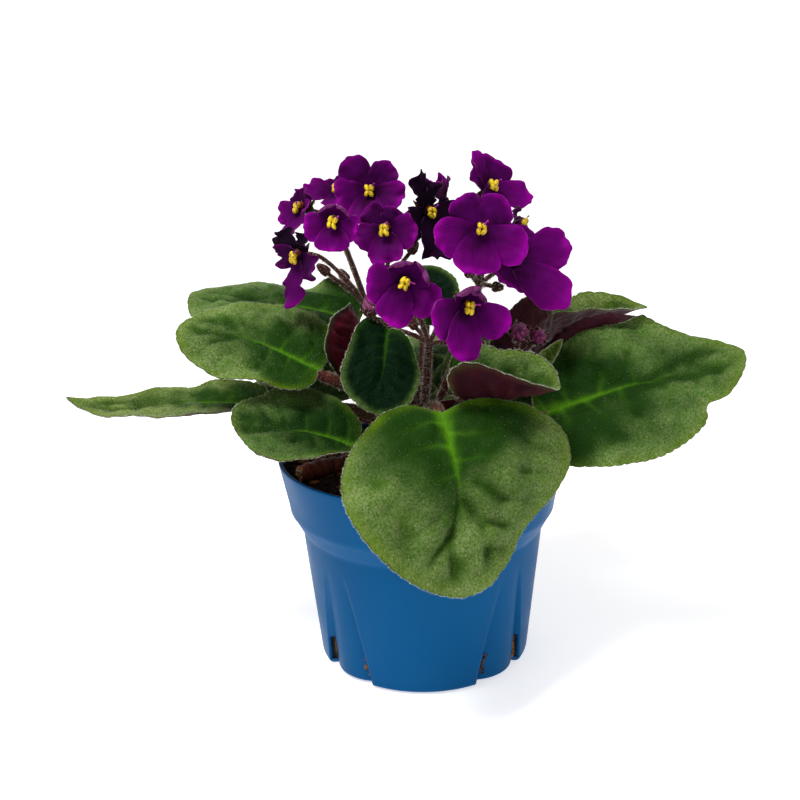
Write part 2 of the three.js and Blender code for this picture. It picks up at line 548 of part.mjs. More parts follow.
// Middle surface of the blade: rho runs from its middle (0) to the margin (1).
function leafPoint(leaf, axes, rho, phi) {
  const { length, bend } = axes;
  const reach = rho * marginReach(leaf, length, phi);
  const x = leaf.wide * length + reach * Math.cos(phi);
  const y = reach * Math.sin(phi);
  const mean = (leaf.half[0] + leaf.half[1]) / 2;
  const v = Math.abs(y) / leaf.half[y > 0 ? 0 : 1];
  const [cup, fold, curlLeft, curlRight, tipCurl] = leaf.lift;
  let h = cup * v * v + fold * (Math.hypot(v, FOLD_SOFTNESS) - FOLD_SOFTNESS);
  h += (y > 0 ? curlLeft : curlRight) * v ** 3;
  h += MARGIN_WAVE * rho ** 3 * Math.sin(5 * phi + 3 * leaf.phase);
  h -= RIB_GROOVE.depth * gauss(v / RIB_GROOVE.width) * clamp(1 - x / length, 0, 1);
  const curled = 1 - TIP_CURL_START;
  const past = clamp((x / length - TIP_CURL_START) / curled, 0, 1);
  h = h * mean + tipCurl * past ** 2 * length * curled;
  const twist = (rad(leaf.turn[2]) * x) / length;
  const across = y * Math.cos(twist) - h * Math.sin(twist);
  const above = y * Math.sin(twist) + h * Math.cos(twist);
  const k = bend / length;
  const arcX = Math.sin(k * x) / k + above * Math.sin(k * x);
  const arcZ = -(1 - Math.cos(k * x)) / k + above * Math.cos(k * x);
  const tilt = bend / 2;
  return along(axes.base, [axes.ahead, arcX * Math.cos(tilt) - arcZ * Math.sin(tilt)],
    [axes.side, across], [axes.normal, arcX * Math.sin(tilt) + arcZ * Math.cos(tilt)]);
}

// A fan of rings, each with twice the points of the one inside it.
function makeBlade(leaf) {
  const axes = leafAxes(leaf);
  const { count } = MARGIN_POINTS.find(({ half }) => Math.max(...leaf.half) <= half);
  const levels = BLADE_RINGS.map((rho, i) => [rho, count / 2 ** (2 - i)]);
  const points = [leafPoint(leaf, axes, 0, 0)];
  const thickness = [BLADE_THICK];
  const starts = [];
  for (const [rho, n] of levels) {
    starts.push(points.length);
    for (let k = 0; k < n; k += 1) {
      const phi = -Math.PI + (2 * Math.PI * k) / n;
      points.push(leafPoint(leaf, axes, rho, phi));
      thickness.push(mix(BLADE_THICK, BLADE_EDGE, rho * rho));
    }
  }
  const faces = [];
  for (let k = 0; k < levels[0][1]; k += 1) {
    faces.push([0, starts[0] + k, starts[0] + ((k + 1) % levels[0][1])]);
  }
  for (let i = 0; i < 2; i += 1) {
    const n = levels[i][1];
    for (let k = 0; k < n; k += 1) {
      const a = starts[i] + k;
      const b = starts[i] + ((k + 1) % n);
      const c = starts[i + 1] + 2 * k;
      const e = starts[i + 1] + ((2 * k + 2) % (2 * n));
      faces.push([a, c, c + 1], [a, c + 1, b], [b, c + 1, e]);
    }
  }
  const rim = Array.from({ length: count }, (_, k) => starts[2] + k);
  return plate(points, faces, rim, thickness);
}

// A point of the keel, clear of the blade's underside on the midrib behind its
// middle, and the direction of the midrib there.
function keelPoint(leaf, axes, rho, radius) {
  const at = leafPoint(leaf, axes, rho, Math.PI);
  const ahead = leafPoint(leaf, axes, rho - 0.1, Math.PI).sub(at).normalize();
  const across = leafPoint(leaf, axes, rho, Math.PI - 0.5)
    .sub(leafPoint(leaf, axes, rho, 0.5 - Math.PI));
  const down = new THREE.Vector3().crossVectors(across, ahead).normalize();
  const half = mix(BLADE_THICK, BLADE_EDGE, rho * rho) / 2;
  return { point: along(at, [down, half + radius + KEEL_GAP]), ahead };
}

// From the crown, out and up, then under the blade as the keel of its midrib.
function makePetiole(leaf) {
  const axes = leafAxes(leaf);
  const [thick, thin, end] = PETIOLE_RADII;
  const mouth = keelPoint(leaf, axes, 1, thin);
  const out = new THREE.Vector3(mouth.point.x, mouth.point.y, 0).normalize();
  const rise = new THREE.Vector3(0, 0, 1);
  const higher = clamp((leaf.base[2] - PETIOLE_LOW) * PETIOLE_RISE.share, 0, PETIOLE_RISE.most);
  const start = along(new THREE.Vector3(), [rise, PETIOLE_FOOT + higher], [out, PETIOLE_OUT]);
  const span = start.distanceTo(mouth.point);
  const handles = PETIOLE_HANDLES;
  const path = bezier([start,
    along(start, [out, handles.out * span], [rise, handles.up * span]),
    along(mouth.point, [mouth.ahead, -handles.back * span]), mouth.point], PETIOLE_STEPS);
  const radii = path.map((_, i) => mix(thick, thin, i / PETIOLE_STEPS));
  KEEL_PLACES.forEach((rho, i) => {
    const radius = mix(thin, end, (i + 1) / KEEL_PLACES.length);
    path.push(keelPoint(leaf, axes, rho, radius).point);
    radii.push(radius);
  });
  return tube(path, radii, PETIOLE_SIDES);
}

function makeCrown() {
  const axis = CROWN.map(({ z }) => new THREE.Vector3(0, 0, z));
  let crown = tube(axis, CROWN.map(({ r }) => r), CROWN_SIDES);
  crown = join([crown, ...LEAVES.map(makePetiole)]);
  for (const stalk of STALKS) {
    const foot = vec(stalk.path[0]);
    const mouth = vec(stalk.path[1]);
    const way = mouth.clone().sub(foot).normalize();
    const floor = along(foot, [way, -SEAT_GAP]);
    const wide = STALK_RADIUS[0] + STALK_CLEARANCE;
    const end = along(floor, [way, STALK_HOLE_LENGTH]);
    crown = crown.subtract(tube([floor, end], [wide, wide], 8));
  }
  return crown;
}

// ------------------------------------------------------------------- blooms
function bloomAxes(bloom) {
  const [yaw, pitch, roll] = bloom.face.map(rad);
  const facing = new THREE.Vector3(Math.sin(yaw) * Math.cos(pitch),
    -Math.cos(yaw) * Math.cos(pitch), Math.sin(pitch));
  const level = new THREE.Vector3(0, 0, 1).cross(facing).normalize();
  const upright = new THREE.Vector3().crossVectors(facing, level);
  const right = along(new THREE.Vector3(), [level, Math.cos(roll)], [upright, Math.sin(roll)]);
  const up = along(new THREE.Vector3(), [upright, Math.cos(roll)], [level, -Math.sin(roll)]);
  return { centre: vec(bloom.at), facing, right, up };
}

// A petal's middle surface: u from throat to tip, v from edge to edge (-1..1).
// All petals of a bloom lie on cones one above another, so they cross only in
// the throat.
function petalPoint(bloom, axes, i, u, v) {
  const petal = PETALS[i];
  const turn = rad(petal.turn + bloom.swing[i]);
  const length = bloom.size * petal.length * bloom.long[i];
  const half = (bloom.size * petal.width * bloom.broad[i]) / 2;
  const swell = mix(PETAL_CLAW, 1, Math.sin(Math.PI * u * PETAL_WIDEST) ** 0.8);
  const past = clamp((u - PETAL_WIDEST) / (1 - PETAL_WIDEST), 0, 1);
  const tip = Math.sqrt(Math.max(0, 1 - past ** 2.4));
  const across = v * half * swell * tip;
  const forward = u * length;
  const reach = Math.hypot(forward, across);
  const k = (i < 2 ? bloom.curl : 0) / length;
  const out = k > 0 ? Math.sin(k * reach) / k : reach;
  const rolled = k > 0 ? (1 - Math.cos(k * reach)) / k : 0;
  const cup = rad(bloom.cup);
  const shrink = (out * Math.cos(cup) - rolled * Math.sin(cup)) / reach;
  const lift = out * Math.sin(cup) + rolled * Math.cos(cup) + petal.layer + PETAL_SEAT;
  const x = shrink * (forward * Math.cos(turn) - across * Math.sin(turn));
  const y = shrink * (forward * Math.sin(turn) + across * Math.cos(turn));
  return along(axes.centre, [axes.right, x], [axes.up, y], [axes.facing, lift]);
}

function makeCorolla(bloom) {
  const axes = bloomAxes(bloom);
  const throat = tube([along(axes.centre, [axes.facing, THROAT_BACK]),
    along(axes.centre, [axes.facing, THROAT_FRONT])], [THROAT_RADIUS, THROAT_RADIUS], 6);
  const places = [[0.05, 0], [0.45, -1], [0.45, 0], [0.45, 1], [0.8, -1], [0.8, 0],
    [0.8, 1], [0.97, -1], [0.97, 1]];
  const faces = [[0, 2, 1], [0, 3, 2], [1, 2, 5], [1, 5, 4], [2, 3, 6], [2, 6, 5],
    [4, 5, 7], [5, 8, 7], [5, 6, 8]];
  const rim = [0, 3, 6, 8, 7, 4, 1];
  const petals = PETALS.map((_, i) => {
    const points = places.map(([u, v]) => petalPoint(bloom, axes, i, u, v));
    return plate(points, faces, rim, points.map(() => PETAL_THICK));
  });
  return join([throat, ...petals]);
}

// Four swollen lobes in a cross, on a short post in the throat.
function makeAnthers(bloom) {
  const { centre, facing, right, up } = bloomAxes(bloom);
  const around = 16;
  const middle = along(centre, [facing, ANTHER_HEIGHT]);
  const points = [along(middle, [facing, 1.1])];
  for (const { height, share } of ANTHER_RINGS) {
    for (let k = 0; k < around; k += 1) {
      const a = (2 * Math.PI * k) / around;
      const lobe = mix(1 - ANTHER_CREASE, 1, Math.sqrt(Math.abs(Math.sin(2 * a))));
      const r = share * ANTHER_RADIUS * lobe;
      points.push(along(middle, [right, r * Math.cos(a)], [up, 1.1 * r * Math.sin(a)],
        [facing, height]));
    }
  }
  const foot = points.length;
  points.push(along(centre, [facing, THROAT_FRONT + SEAT_GAP]));
  const faces = [];
  for (let k = 0; k < around; k += 1) {
    const n = (k + 1) % around;
    faces.push([0, 1 + k, 1 + n]);
    for (const a of [1, 1 + around]) {
      faces.push([a + k, a + around + k, a + around + n], [a + k, a + around + n, a + n]);
    }
    faces.push([1 + 2 * around + k, foot, 1 + 2 * around + n]);
  }
  return solid(body(points, faces));
}

// --------------------------------------------------------- stalks and buds
// A five-pointed cup of sepals behind the petals.
function calyx(bloom) {
  const { centre, facing, right, up } = bloomAxes(bloom);
  const points = [along(centre, [facing, CALYX_FRONT]), along(centre, [facing, CALYX_BACK])];
  const faces = [];
  const count = 2 * SEPALS;
  for (let k = 0; k < count; k += 1) {
    const a = rad(90 + ((k + 1) * 360) / count);
    const out = along(new THREE.Vector3(), [right, Math.cos(a)], [up, Math.sin(a)]);
    const { reach, height } = k % 2 === 0 ? SEPAL_TIP : SEPAL_VALLEY;
    points.push(along(centre, [facing, height], [out, reach]));
    points.push(along(centre, [facing, height - SEPAL_THICK], [out, reach - 0.2]));
    const [f, b] = [2 + 2 * k, 3 + 2 * k];
    const [fn, bn] = [2 + 2 * ((k + 1) % count), 3 + 2 * ((k + 1) % count)];
    faces.push([0, f, fn], [1, bn, b], [f, b, bn], [f, bn, fn]);
  }
  return solid(body(points, faces));
}

function pedicel(fork, end, arrive) {
  const span = fork.distanceTo(end);
  const leave = end.clone().sub(fork).normalize();
  leave.z += PEDICEL_RISE;
  const handle = PEDICEL_HANDLE * span;
  const path = bezier([fork, along(fork, [leave, handle]), along(end, [arrive, -handle]), end], 3);
  return tube(path, path.map(() => PEDICEL_RADIUS), 4);
}

function makeStalk(stalk) {
  const way = stalk.path.map(vec);
  const curve = new THREE.CatmullRomCurve3(way).getPoints(5);
  const radii = curve.map((_, i) => mix(STALK_RADIUS[0], STALK_RADIUS[1], i / 5));
  const parts = [tube(curve, radii, 6)];
  const fork = way[way.length - 1];
  for (const number of stalk.blooms) {
    const bloom = BLOOMS[number - 1];
    const { centre, facing } = bloomAxes(bloom);
    parts.push(pedicel(fork, along(centre, [facing, -PEDICEL_END]), facing));
    parts.push(calyx(bloom));
  }
  for (const at of stalk.knobs) {
    const end = vec(at);
    const lean = end.clone().sub(fork).normalize();
    parts.push(pedicel(fork, end, lean));
    const level = new THREE.Vector3(0, 0, 1).cross(lean).normalize();
    const other = new THREE.Vector3().crossVectors(lean, level);
    parts.push(ellipsoid(along(end, [lean, 1]), [level, other, lean], KNOB_RADII, 5, 3));
  }
  for (const number of stalk.buds) {
    const bud = BUDS[number - 1];
    const lean = vec(bud.lean).normalize();
    parts.push(pedicel(fork, along(vec(bud.at), [lean, -BUD_GAP]), lean));
  }
  return join(parts);
}

function makeBud(bud) {
  const lean = vec(bud.lean).normalize();
  const path = BUD_SHAPE.map(([t]) => along(vec(bud.at), [lean, t * bud.length]));
  return tube(path, BUD_SHAPE.map(([, r]) => r * bud.radius), 8);
}

function makeStub() {
  const curve = new THREE.CatmullRomCurve3(STUB_PATH.map(vec)).getPoints(5);
  return tube(curve, curve.map((_, i) => mix(STUB_RADIUS[0], STUB_RADIUS[1], i / 5)), 7);
}

// ----------------------------------------------------------------- assembly
const group = new THREE.Group();
group.name = "potted_african_violet";
group.add(piece("pot", makePot(), "pot"));
group.add(piece("soil", makeSoil(), "soil"));
group.add(piece("crown_and_petioles", makeCrown(), "stem"));
group.add(piece("old_stem_stub", makeStub(), "stub"));
for (const leaf of LEAVES) group.add(piece(leaf.name, makeBlade(leaf), "blade"));
for (const stalk of STALKS) group.add(piece(stalk.name, makeStalk(stalk), "stem"));
for (const bud of BUDS) group.add(piece(bud.name, makeBud(bud), "bud"));
BLOOMS.forEach((bloom, i) => {
  group.add(piece(`bloom_${i + 1}`, makeCorolla(bloom), "petal"));
  if (bloom.anthers) group.add(piece(`anthers_${i + 1}`, makeAnthers(bloom), "anther"));
});

export default group;
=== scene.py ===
"""Looks of a potted african violet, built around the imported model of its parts.

The file is laid out as an add-on and is run as a script. Shapes are worked out in
millimetres with +Z up, -Y toward the viewer and the origin under the pot's middle.
"""

from collections import namedtuple

import bpy
import numpy as np
from mathutils import Matrix, Vector


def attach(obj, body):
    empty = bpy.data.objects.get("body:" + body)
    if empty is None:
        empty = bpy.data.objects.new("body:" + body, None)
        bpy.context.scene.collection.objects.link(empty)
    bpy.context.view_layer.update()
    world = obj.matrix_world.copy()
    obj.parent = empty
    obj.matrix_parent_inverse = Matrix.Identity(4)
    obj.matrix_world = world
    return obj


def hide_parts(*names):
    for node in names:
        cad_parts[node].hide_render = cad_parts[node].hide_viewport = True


bl_info = {
    "name": "Potted african violet",
    "version": (1, 0, 0),
    "blender": (4, 5, 0),
    "location": "View3D > Sidebar > Violet",
    "description": "Builds the pot, soil, leaves, stems and blooms of a potted african violet",
    "category": "Add Mesh",
}

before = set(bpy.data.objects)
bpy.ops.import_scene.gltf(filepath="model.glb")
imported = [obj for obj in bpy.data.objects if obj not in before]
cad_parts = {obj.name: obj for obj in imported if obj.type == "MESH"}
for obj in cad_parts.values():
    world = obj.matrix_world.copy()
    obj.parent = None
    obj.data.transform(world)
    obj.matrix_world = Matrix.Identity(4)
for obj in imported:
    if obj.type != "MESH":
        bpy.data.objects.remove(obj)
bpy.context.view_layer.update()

MM = 0.001
PHOTO_PIXELS = 800
SEED = 7

# ---------------------------------------------------------------- the plant
# base and tip: [azimuth deg, reach, height] of a blade's notch and tip. turn: roll,
# lengthwise bend and twist (deg). half: half-width left and right of the midrib.
# wide: where along the midrib it is widest. lobes: how far the base lobes reach
# back. point: tip sharpness. lift: cup, V-fold, left, right and tip curl. form:
# slow departures from a plain heart. phase: start of the margin's waves (rad). notch:
# open share of the gap between the base lobes. nick: direction (deg) of a dent in the
# margin. rolled: direction, spread and turn (deg) of a stretch of margin that is
# rolled up. shade: 0 for an old olive blade, 1 for a young dark one; it is also
# painted shade, which darkens a blade that lies in the shade of others.
Leaf = namedtuple(
    "Leaf",
    "name base tip turn half wide lobes point lift form phase notch nick rolled shade",
    defaults=(1, None, None, 0.4),
)
LEAVES = [
    Leaf("leaf_front", (-80, 51, 120), (-77, 82, 65), (-6, 54, -27), (42, 41), 0.35,
         (0.12, 0.14), 1.9, (-0.11, 0, 0, 0, 0), (-0.02, -0.05, 0.01, -0.04, 0.04, 0.04),
         0.3, notch=0.35, shade=0.34),
    Leaf("leaf_right", (-19, 55, 112), (-5.5, 129, 132), (-39, 7, -7), (31, 32), 0.4,
         (0.11, 0.28), 1.5, (-0.06, 0, 0.12, -0.11, 0), (-0.03, -0.03, 0, -0.02, 0.03, 0),
         1.1, notch=0.3, nick=-38, rolled=(116, 56, 300), shade=0.47),
    Leaf("leaf_right_high", (33, 56, 123), (15, 100, 143), (10, 34, 23), (8, 19), 0.39,
         (0.14, 0.14), 1.3, (0.32, 0.55, 0, 0, 0), (0.03, 0.04, 0.02, 0.01, 0, 0),
         2, shade=0.15),
    Leaf("leaf_right_cupped", (-62.5, 38.6, 119.4), (-45, 70, 128), (-9, 26, -1), (13, 17), 0.37,
         (0.26, 0.01), 1.8, (0.39, 0.74, -0.03, 0.07, 0), (-0.02, -0.06, 0.05, 0.09, 0, 0),
         0.7, shade=0.4),
    Leaf("leaf_centre_hanging", (-116, 27, 146), (-109, 48, 118), (16, 20, 0), (13, 15), 0.49,
         (0.02, 0.19), 2, (0.1, 0, 0, 0, 0), (-0.01, 0.02, -0.06, 0, 0.02, 0.01),
         2.4, notch=0.4, shade=1),
    Leaf("leaf_left_upright", (-166, 29, 124), (-157, 33, 155), (210, -26, 0), (20, 17), 0.42,
         (0.14, 0.14), 1.9, (0.13, 0, 0, 0, 0), (-0.08, -0.09, -0.06, -0.06, -0.03, 0.06),
         0.9, shade=0.6),
    Leaf("leaf_left", (-145, 52, 136), (-166, 93, 152), (27, 21, 2), (21, 24), 0.33,
         (0.15, 0.19), 2, (-0.07, 0, 0, 0, 0), (-0.03, 0.11, -0.01, 0.07, 0, -0.03),
         1.9, notch=0.3, shade=0.35),
    Leaf("leaf_left_back", (140, 36, 143), (162, 107, 151), (6, 14, -1), (36, 24), 0.47,
         (0.1, 0.1), 2.1, (-0.05, 0, 0, 0, 0), (-0.08, -0.01, 0, 0.01, 0.01, -0.03),
         0.2, notch=0.3, rolled=(215, 26, 170), shade=0.45),
    Leaf("leaf_far_left", (-173, 64, 114), (-177, 143, 111), (5, 10, -4), (21, 13), 0.34,
         (0.14, 0.14), 1.4, (0.15, 0, 0.03, 0.01, 0.3), (-0.02, 0.11, 0.04, -0.05, -0.01, 0),
         1.4, shade=0.15),
    Leaf("leaf_front_left", (-121, 51, 109), (-144, 86, 119), (19, 17, -3), (22, 20), 0.52,
         (0.02, 0.13), 1.8, (0, 0.19, 0, 0, 0), (-0.03, 0.06, -0.02, -0.03, 0.03, -0.05),
         2.9, notch=0.4, shade=0.62),
    Leaf("leaf_back_left", (135, 36, 115), (150, 84, 122), (26, 18, 0), (24, 24), 0.42,
         (0.14, 0.14), 1.9, (0.08, 0, 0, 0, 0), (0, 0.02, 0, 0.02, 0, 0), 0.5),
    Leaf("leaf_back_upright", (84, 26, 138), (84, 54, 158), (0, 20, 0), (14, 14), 0.42,
         (0.14, 0.14), 1.9, (0.08, 0, 0, 0, 0), (0, -0.02, 0, 0.02, 0, 0), 2.2, shade=1),
    Leaf("leaf_right_upright", (-6, 37, 121), (5, 51, 152), (80, -12, 0), (17, 17), 0.42,
         (0.14, 0.14), 1.9, (0.15, 0, 0, 0, 0), (0, 0.02, 0, -0.02, 0, 0), 1.3, shade=0.4),
    Leaf("leaf_right_inner", (30, 19, 112), (22, 30, 140), (-50, 10, 0), (10, 10), 0.42,
         (0.12, 0.12), 1.7, (0.15, 0, 0, 0, 0), (0, 0.03, 0, 0.02, 0, 0), 1.6, shade=0.5),
    Leaf("leaf_right_young", (-15, 45, 122), (-7, 58, 137), (-50, 10, 0), (3.5, 3.5), 0.4,
         (0.05, 0.05), 1.4, (0.1, 0, 0, 0, 0), (0, 0, 0, 0, 0, 0), 0.4, shade=0.1),
    Leaf("leaf_back", (95, 44, 116), (96, 108, 112), (0, 24, 0), (30, 30), 0.42,
         (0.14, 0.14), 1.9, (0.08, 0, 0, 0, 0), (0, 0.03, 0, 0.02, 0, 0), 2.7, shade=0.2),
    Leaf("leaf_back_right_low", (58, 48, 107), (48, 112, 100), (4, 22, 0), (27, 27), 0.42,
         (0.14, 0.14), 1.9, (0.08, 0, 0, 0, 0), (0, -0.03, 0, 0.02, 0, 0), 0.8, shade=0.2),
    Leaf("leaf_back_left_low", (160, 46, 106), (148, 106, 101), (0, 22, 0), (26, 26), 0.42,
         (0.14, 0.14), 1.9, (0.08, 0, 0, 0, 0), (0, 0.02, 0, -0.02, 0, 0), 1.7, shade=0.2),
]
SMALL_LEAF = Leaf("", (0, 0, 0), (0, 0, 0), (0, 30, 0), (6, 6), 0.42, (0.12, 0.12), 1.9,
                  (0.5, 0.3, 0, 0, 0), (0, 0, 0, 0, 0, 0), 0, shade=0.9)
CENTRE_LEAVES = 6
# Half-grown leaves low in the crown: base, tip, roll and half-width.
INNER_LEAVES = (((40, 14, 103), (40, 29, 127), 0, 11), ((14, 30, 101), (14, 49, 119), -68, 11),
                ((75, 15, 104), (72, 27, 124), 0, 9), ((-35, 16, 102), (-30, 31, 112), 20, 7))

# Angular half-width (rad) of the notch, share of the margin's waves, width of its
# teeth and the side veins to a blade's length.
NOTCH_WIDTH = 0.32
MARGIN_WAVE = 0.03
TOOTH_WIDTH = 6
SIDE_VEINS = 6.5
# Thickness of a blade at its middle and at its margin.
BLADE_THICK = (1.2, 0.6)
# Radius of each kind of hair at its foot, thicker than life so that it shows; the
# share of a blade's hairs that glint, pale with a painted highlight; and its
# underside's hairs against the upper's.
HAIR_RADIUS = 0.03
GLINT_RADIUS = 0.05
FRINGE_RADIUS = 0.04
STEM_HAIR_RADIUS = 0.07
GLINT_SHARE = 0.045
UNDER_SHARE = 0.16
# Petiole radius at the crown and at the blade's base, and the height of its foot. It
# goes on below the blade, clear by a gap of a plain plate as thick as given at middle
# and margin.
PETIOLE_RADII = (3.2, 2.0)
PETIOLE_FOOT = 91
KEEL_GAP = 0.25
PLATE_THICK = (1.7, 0.9)
# The keel under a blade: share of the way from its middle to its notch, tube radius
# and the radius that the gap is measured from.
KEEL = ((0.85, 1.7, 1.7), (0.7, 1.45, 1.45), (0.53, 1.15, 1.15), (0.36, 0.9, 0.9),
        (0.2, 0.5, 0.6))

# at: throat centre. face: yaw, pitch and roll (deg). size: lower petal length.
# cup: forward tilt of the petals. long, broad: shares of the plain petal's length
# and width. swing: extra turn in the plane. curl: forward roll of the two upper
# petals. age: 0 fresh and bright, 1 faded to near black; it is also painted shade,
# which darkens a bloom that lies in shade. Petals run upper left, upper right,
# left, right, lower.
Bloom = namedtuple(
    "Bloom", "number at face size cup long broad swing curl age open", defaults=(0, 0, True)
)
BLOOMS = [
    Bloom(1, (-31, -22, 187), (0, 8, -7), 11.2, 6, (1.13, 1.15, 1, 0.88, 1),
          (1, 1, 1.04, 1.06, 1.15), (-3, 0, 2, -1, 4), curl=0.9),
    Bloom(2, (-18, 4, 195), (-3, 19, -6), 15.5, 19, (1.41, 1.26, 0.94, 1, 1),
          (1.22, 1.05, 1, 1, 1), (10, -1, 1, 4, 0), age=0.1),
    Bloom(3, (-31, 20, 193), (-21, 46, 5), 14.3, 21, (0.81, 1, 1.03, 1, 0.93),
          (1, 1, 0.92, 1, 0.91), (13, 0, -11, 0, 10), age=0.1),
    Bloom(4, (-43, 0, 190), (-52, 12, -1), 11.7, 20, (0.94, 1.04, 1.06, 0.83, 1),
          (1, 0.92, 0.9, 1, 1), (-3, 8, 3, 6, 0), age=0.2),
    Bloom(5, (-44, -14, 174), (-39, -3, 3), 12.1, 12, (1.5, 1.1, 0.85, 1, 1.65),
          (1.25, 0.8, 0.9, 1, 0.85), (14, 8, -18, -14, -8), age=0.65),
    Bloom(6, (-11, -16, 183), (-14, 9, 7), 13.1, 10, (1.21, 0.94, 0.94, 1, 1.02),
          (1.04, 1, 1, 1.14, 1.1), (5, 0, 0, 7, -3), age=0.2),
    Bloom(7, (-5, -40, 167), (3, 6, -16), 15.4, 4, (1.02, 1.14, 0.9, 1, 1.05),
          (1, 1, 1, 0.95, 0.9), (-10, -13, -1, -8, -5), curl=1),
    Bloom(8, (16, -44, 159), (26, 1, -7), 16.8, 13, (1.12, 0.92, 1, 1.1, 1.18),
          (0.96, 1, 1, 0.87, 0.9), (-11, 5, 9, -9, -7), curl=1.2),
    Bloom(9, (23, -26, 183), (9, 18, -8), 17.6, 5, (1.16, 1.17, 1, 1.1, 1),
          (0.92, 1.05, 0.93, 0.9, 1), (4, 0, 3, -5, -5)),
    Bloom(10, (28, 6, 195), (37, 28, -4), 14.9, 13, (1.0, 1.25, 1.08, 1.2, 1),
          (0.8, 1.75, 0.45, 0.95, 0.97), (0, 12, -84, -4, -14), age=0.05),
    Bloom(11, (37, -4, 167), (23, 19, 41), 21.5, 18, (0.6, 1, 0.54, 1.1, 1.23),
          (0.95, 1.03, 1, 0.91, 0.91), (-4, -12, -10, -11, -1), age=0.15),
    Bloom(12, (3, -3, 188), (38, 4, 0), 14, 14, (1.62, 1.2, 1.2, 1.1, 1.4),
          (0.75, 0.7, 1.1, 1.1, 1.3), (-16, 20, 6, 0, 6), age=0.95),
    Bloom(13, (12, 14, 189), (-60, 62, 0), 12, 56, (1.3, 1.3, 1, 1, 1),
          (1, 1, 1, 1, 1), (0, 0, 0, 0, 0), open=False),
    Bloom(14, (38, 3, 181.5), (82, 6, 0), 9.5, 12, (1.1, 1.2, 0.5, 0.7, 0.5),
          (1, 1, 1, 1, 1), (0, 0, 0, 0, 0), age=0.5),
]
# Blooms whose pollen sacs are hidden for good.
BARE_BLOOMS = (11, 13)

# Direction in the bloom's plane (deg), length and width shares, layer (mm).
Petal = namedtuple("Petal", "turn length width layer")
PETALS = [
    Petal(123, 0.74, 0.8, -0.95),
    Petal(57, 0.74, 0.8, -0.95),
    Petal(196, 1, 0.98, 0),
    Petal(-16, 1, 0.98, 0),
    Petal(270, 0.98, 1.05, 0.95),
]
PETAL_SEAT = 1.6
PETAL_THICK = 0.36
SEPAL_THICK = 0.5
THROAT_RADIUS = 2.3
THROAT_FRONT = 3.1
ANTHER_HEIGHT = 5.2

# Way points of each flower stalk, the blooms it carries, its brown calyx buds and
# the purple buds on it.
Stalk = namedtuple("Stalk", "name path blooms knobs buds")
STALKS = [
    Stalk("flower_stalk_left", ((-5, -3, 100), (-10, -4, 118), (-17, -6, 138), (-20, -8, 152)),
          (1, 4, 5), ((-36, -10, 167), (-29, -1, 163)), ()),
    Stalk("flower_stalk_back", ((-2, 5, 100), (-4, 6, 118), (-9, 4, 140), (-13, 2, 158)),
          (2, 3, 6), ((-2, 8, 172),), ()),
    Stalk("flower_stalk_front", ((1, -5, 100), (2, -12, 114), (3, -20, 128), (4, -23, 140)),
          (7, 8), ((-2, -24, 148), (22, -20.5, 139)), ("bud_left",)),
    Stalk("flower_stalk_right", ((5, 2, 100), (11, -1, 118), (19, -6, 140), (24, -10, 160)),
          (9, 10, 11, 12, 13, 14), ((30, -19, 161), (20, -16, 166)), ()),
    Stalk("bud_stalk_right", ((6, -2, 100), (17, -9, 113), (30, -15, 122), (38, -17, 129)),
          (), (), ("bud_right", "bud_far_right")),
]
STALK_RADII = (1.7, 1.4)
PEDICEL_RADII = (0.95, 0.75)

# skin: 0 for a violet bud, 1 for a rosy one.
Bud = namedtuple("Bud", "name at lean radius length skin")
BUDS = [
    Bud("bud_left", (-17.5, -22, 152.5), (-0.3, -0.3, 1), 2.6, 8, 1),
    Bud("bud_right", (39, -17, 142), (0, -1, 0.5), 3.5, 8, 0),
    Bud("bud_far_right", (46.5, -15.3, 140), (0.1, -1, 0.4), 2.8, 6.5, 0),
]
BUD_GAP = 0.5

# Way points of the old stem's stub and its radius at both ends.
STUB_PATH = ((-26, -6, 86.9), (-34, -12, 87.6), (-42, -18, 88), (-48, -23, 87.9))
STUB_RADII = (3.0, 3.4)

# Pot: (height, outer radius) up its wall. A collar slopes out to a wider band, and
# four flutes run up from the foot, with a half-width in degrees at foot and top. Each
# has a drain slot by both of its stepped sides, from a share of the way across it.
# Columns are grid points to a flute and to the panel at each side of it.
FLUTE_TOP = 50
COLLAR_FOOT = 58
COLLAR_TOP = 67
POT_TOP = 89
POT_PROFILE = ((0, 43.8), (1.5, 45.3), (FLUTE_TOP, 50.2), (COLLAR_FOOT, 51.0),
               (COLLAR_TOP, 55.7), (POT_TOP, 60.0))
POT_FLOOR = 2.2
POT_WALL = 1.5
FLUTE_DEPTH = 3.6
FLUTE_HALF = (17, 5.5)
STEP_TURN = 0.4
SLOT_HEIGHTS = (2.4, 14.5)
SLOT_INNER = 0.83
WALL_COLUMNS = 22
BED_COLUMNS = 14
# Heights of the rings that round the foot and the lip, and how far each is drawn in.
FOOT_ROUND = ((0, 1.0), (0.35, 0.45), (0.8, 0.12), (1.5, 0))
LIP_ROUND = ((88.3, 0), (88.75, 0.12), (POT_TOP, 0.45))
SOIL_TOP = 83.5
SOIL_ROUGHNESS = 1.1
# Crumbs strewn on the bed: number, sizes, flatness and material slot. Then crumbs in
# each drain slot and fibres on the bed.
CRUMBS = ((1500, (0.8, 2.2), (0.5, 0.9), 1), (260, (2, 4.5), (0.35, 0.7), 0),
          (90, (3.5, 8), (0.18, 0.4), 2))
SLOT_CRUMBS = 60
FIBRES = 60
SEAT_GAP = 0.3
SOIL_INSET = POT_WALL + SEAT_GAP
# (height, radius) up the short stem.
CROWN = ((76, 8.5), (82, 10), (92, 10.2), (99, 9), (104, 6.5))

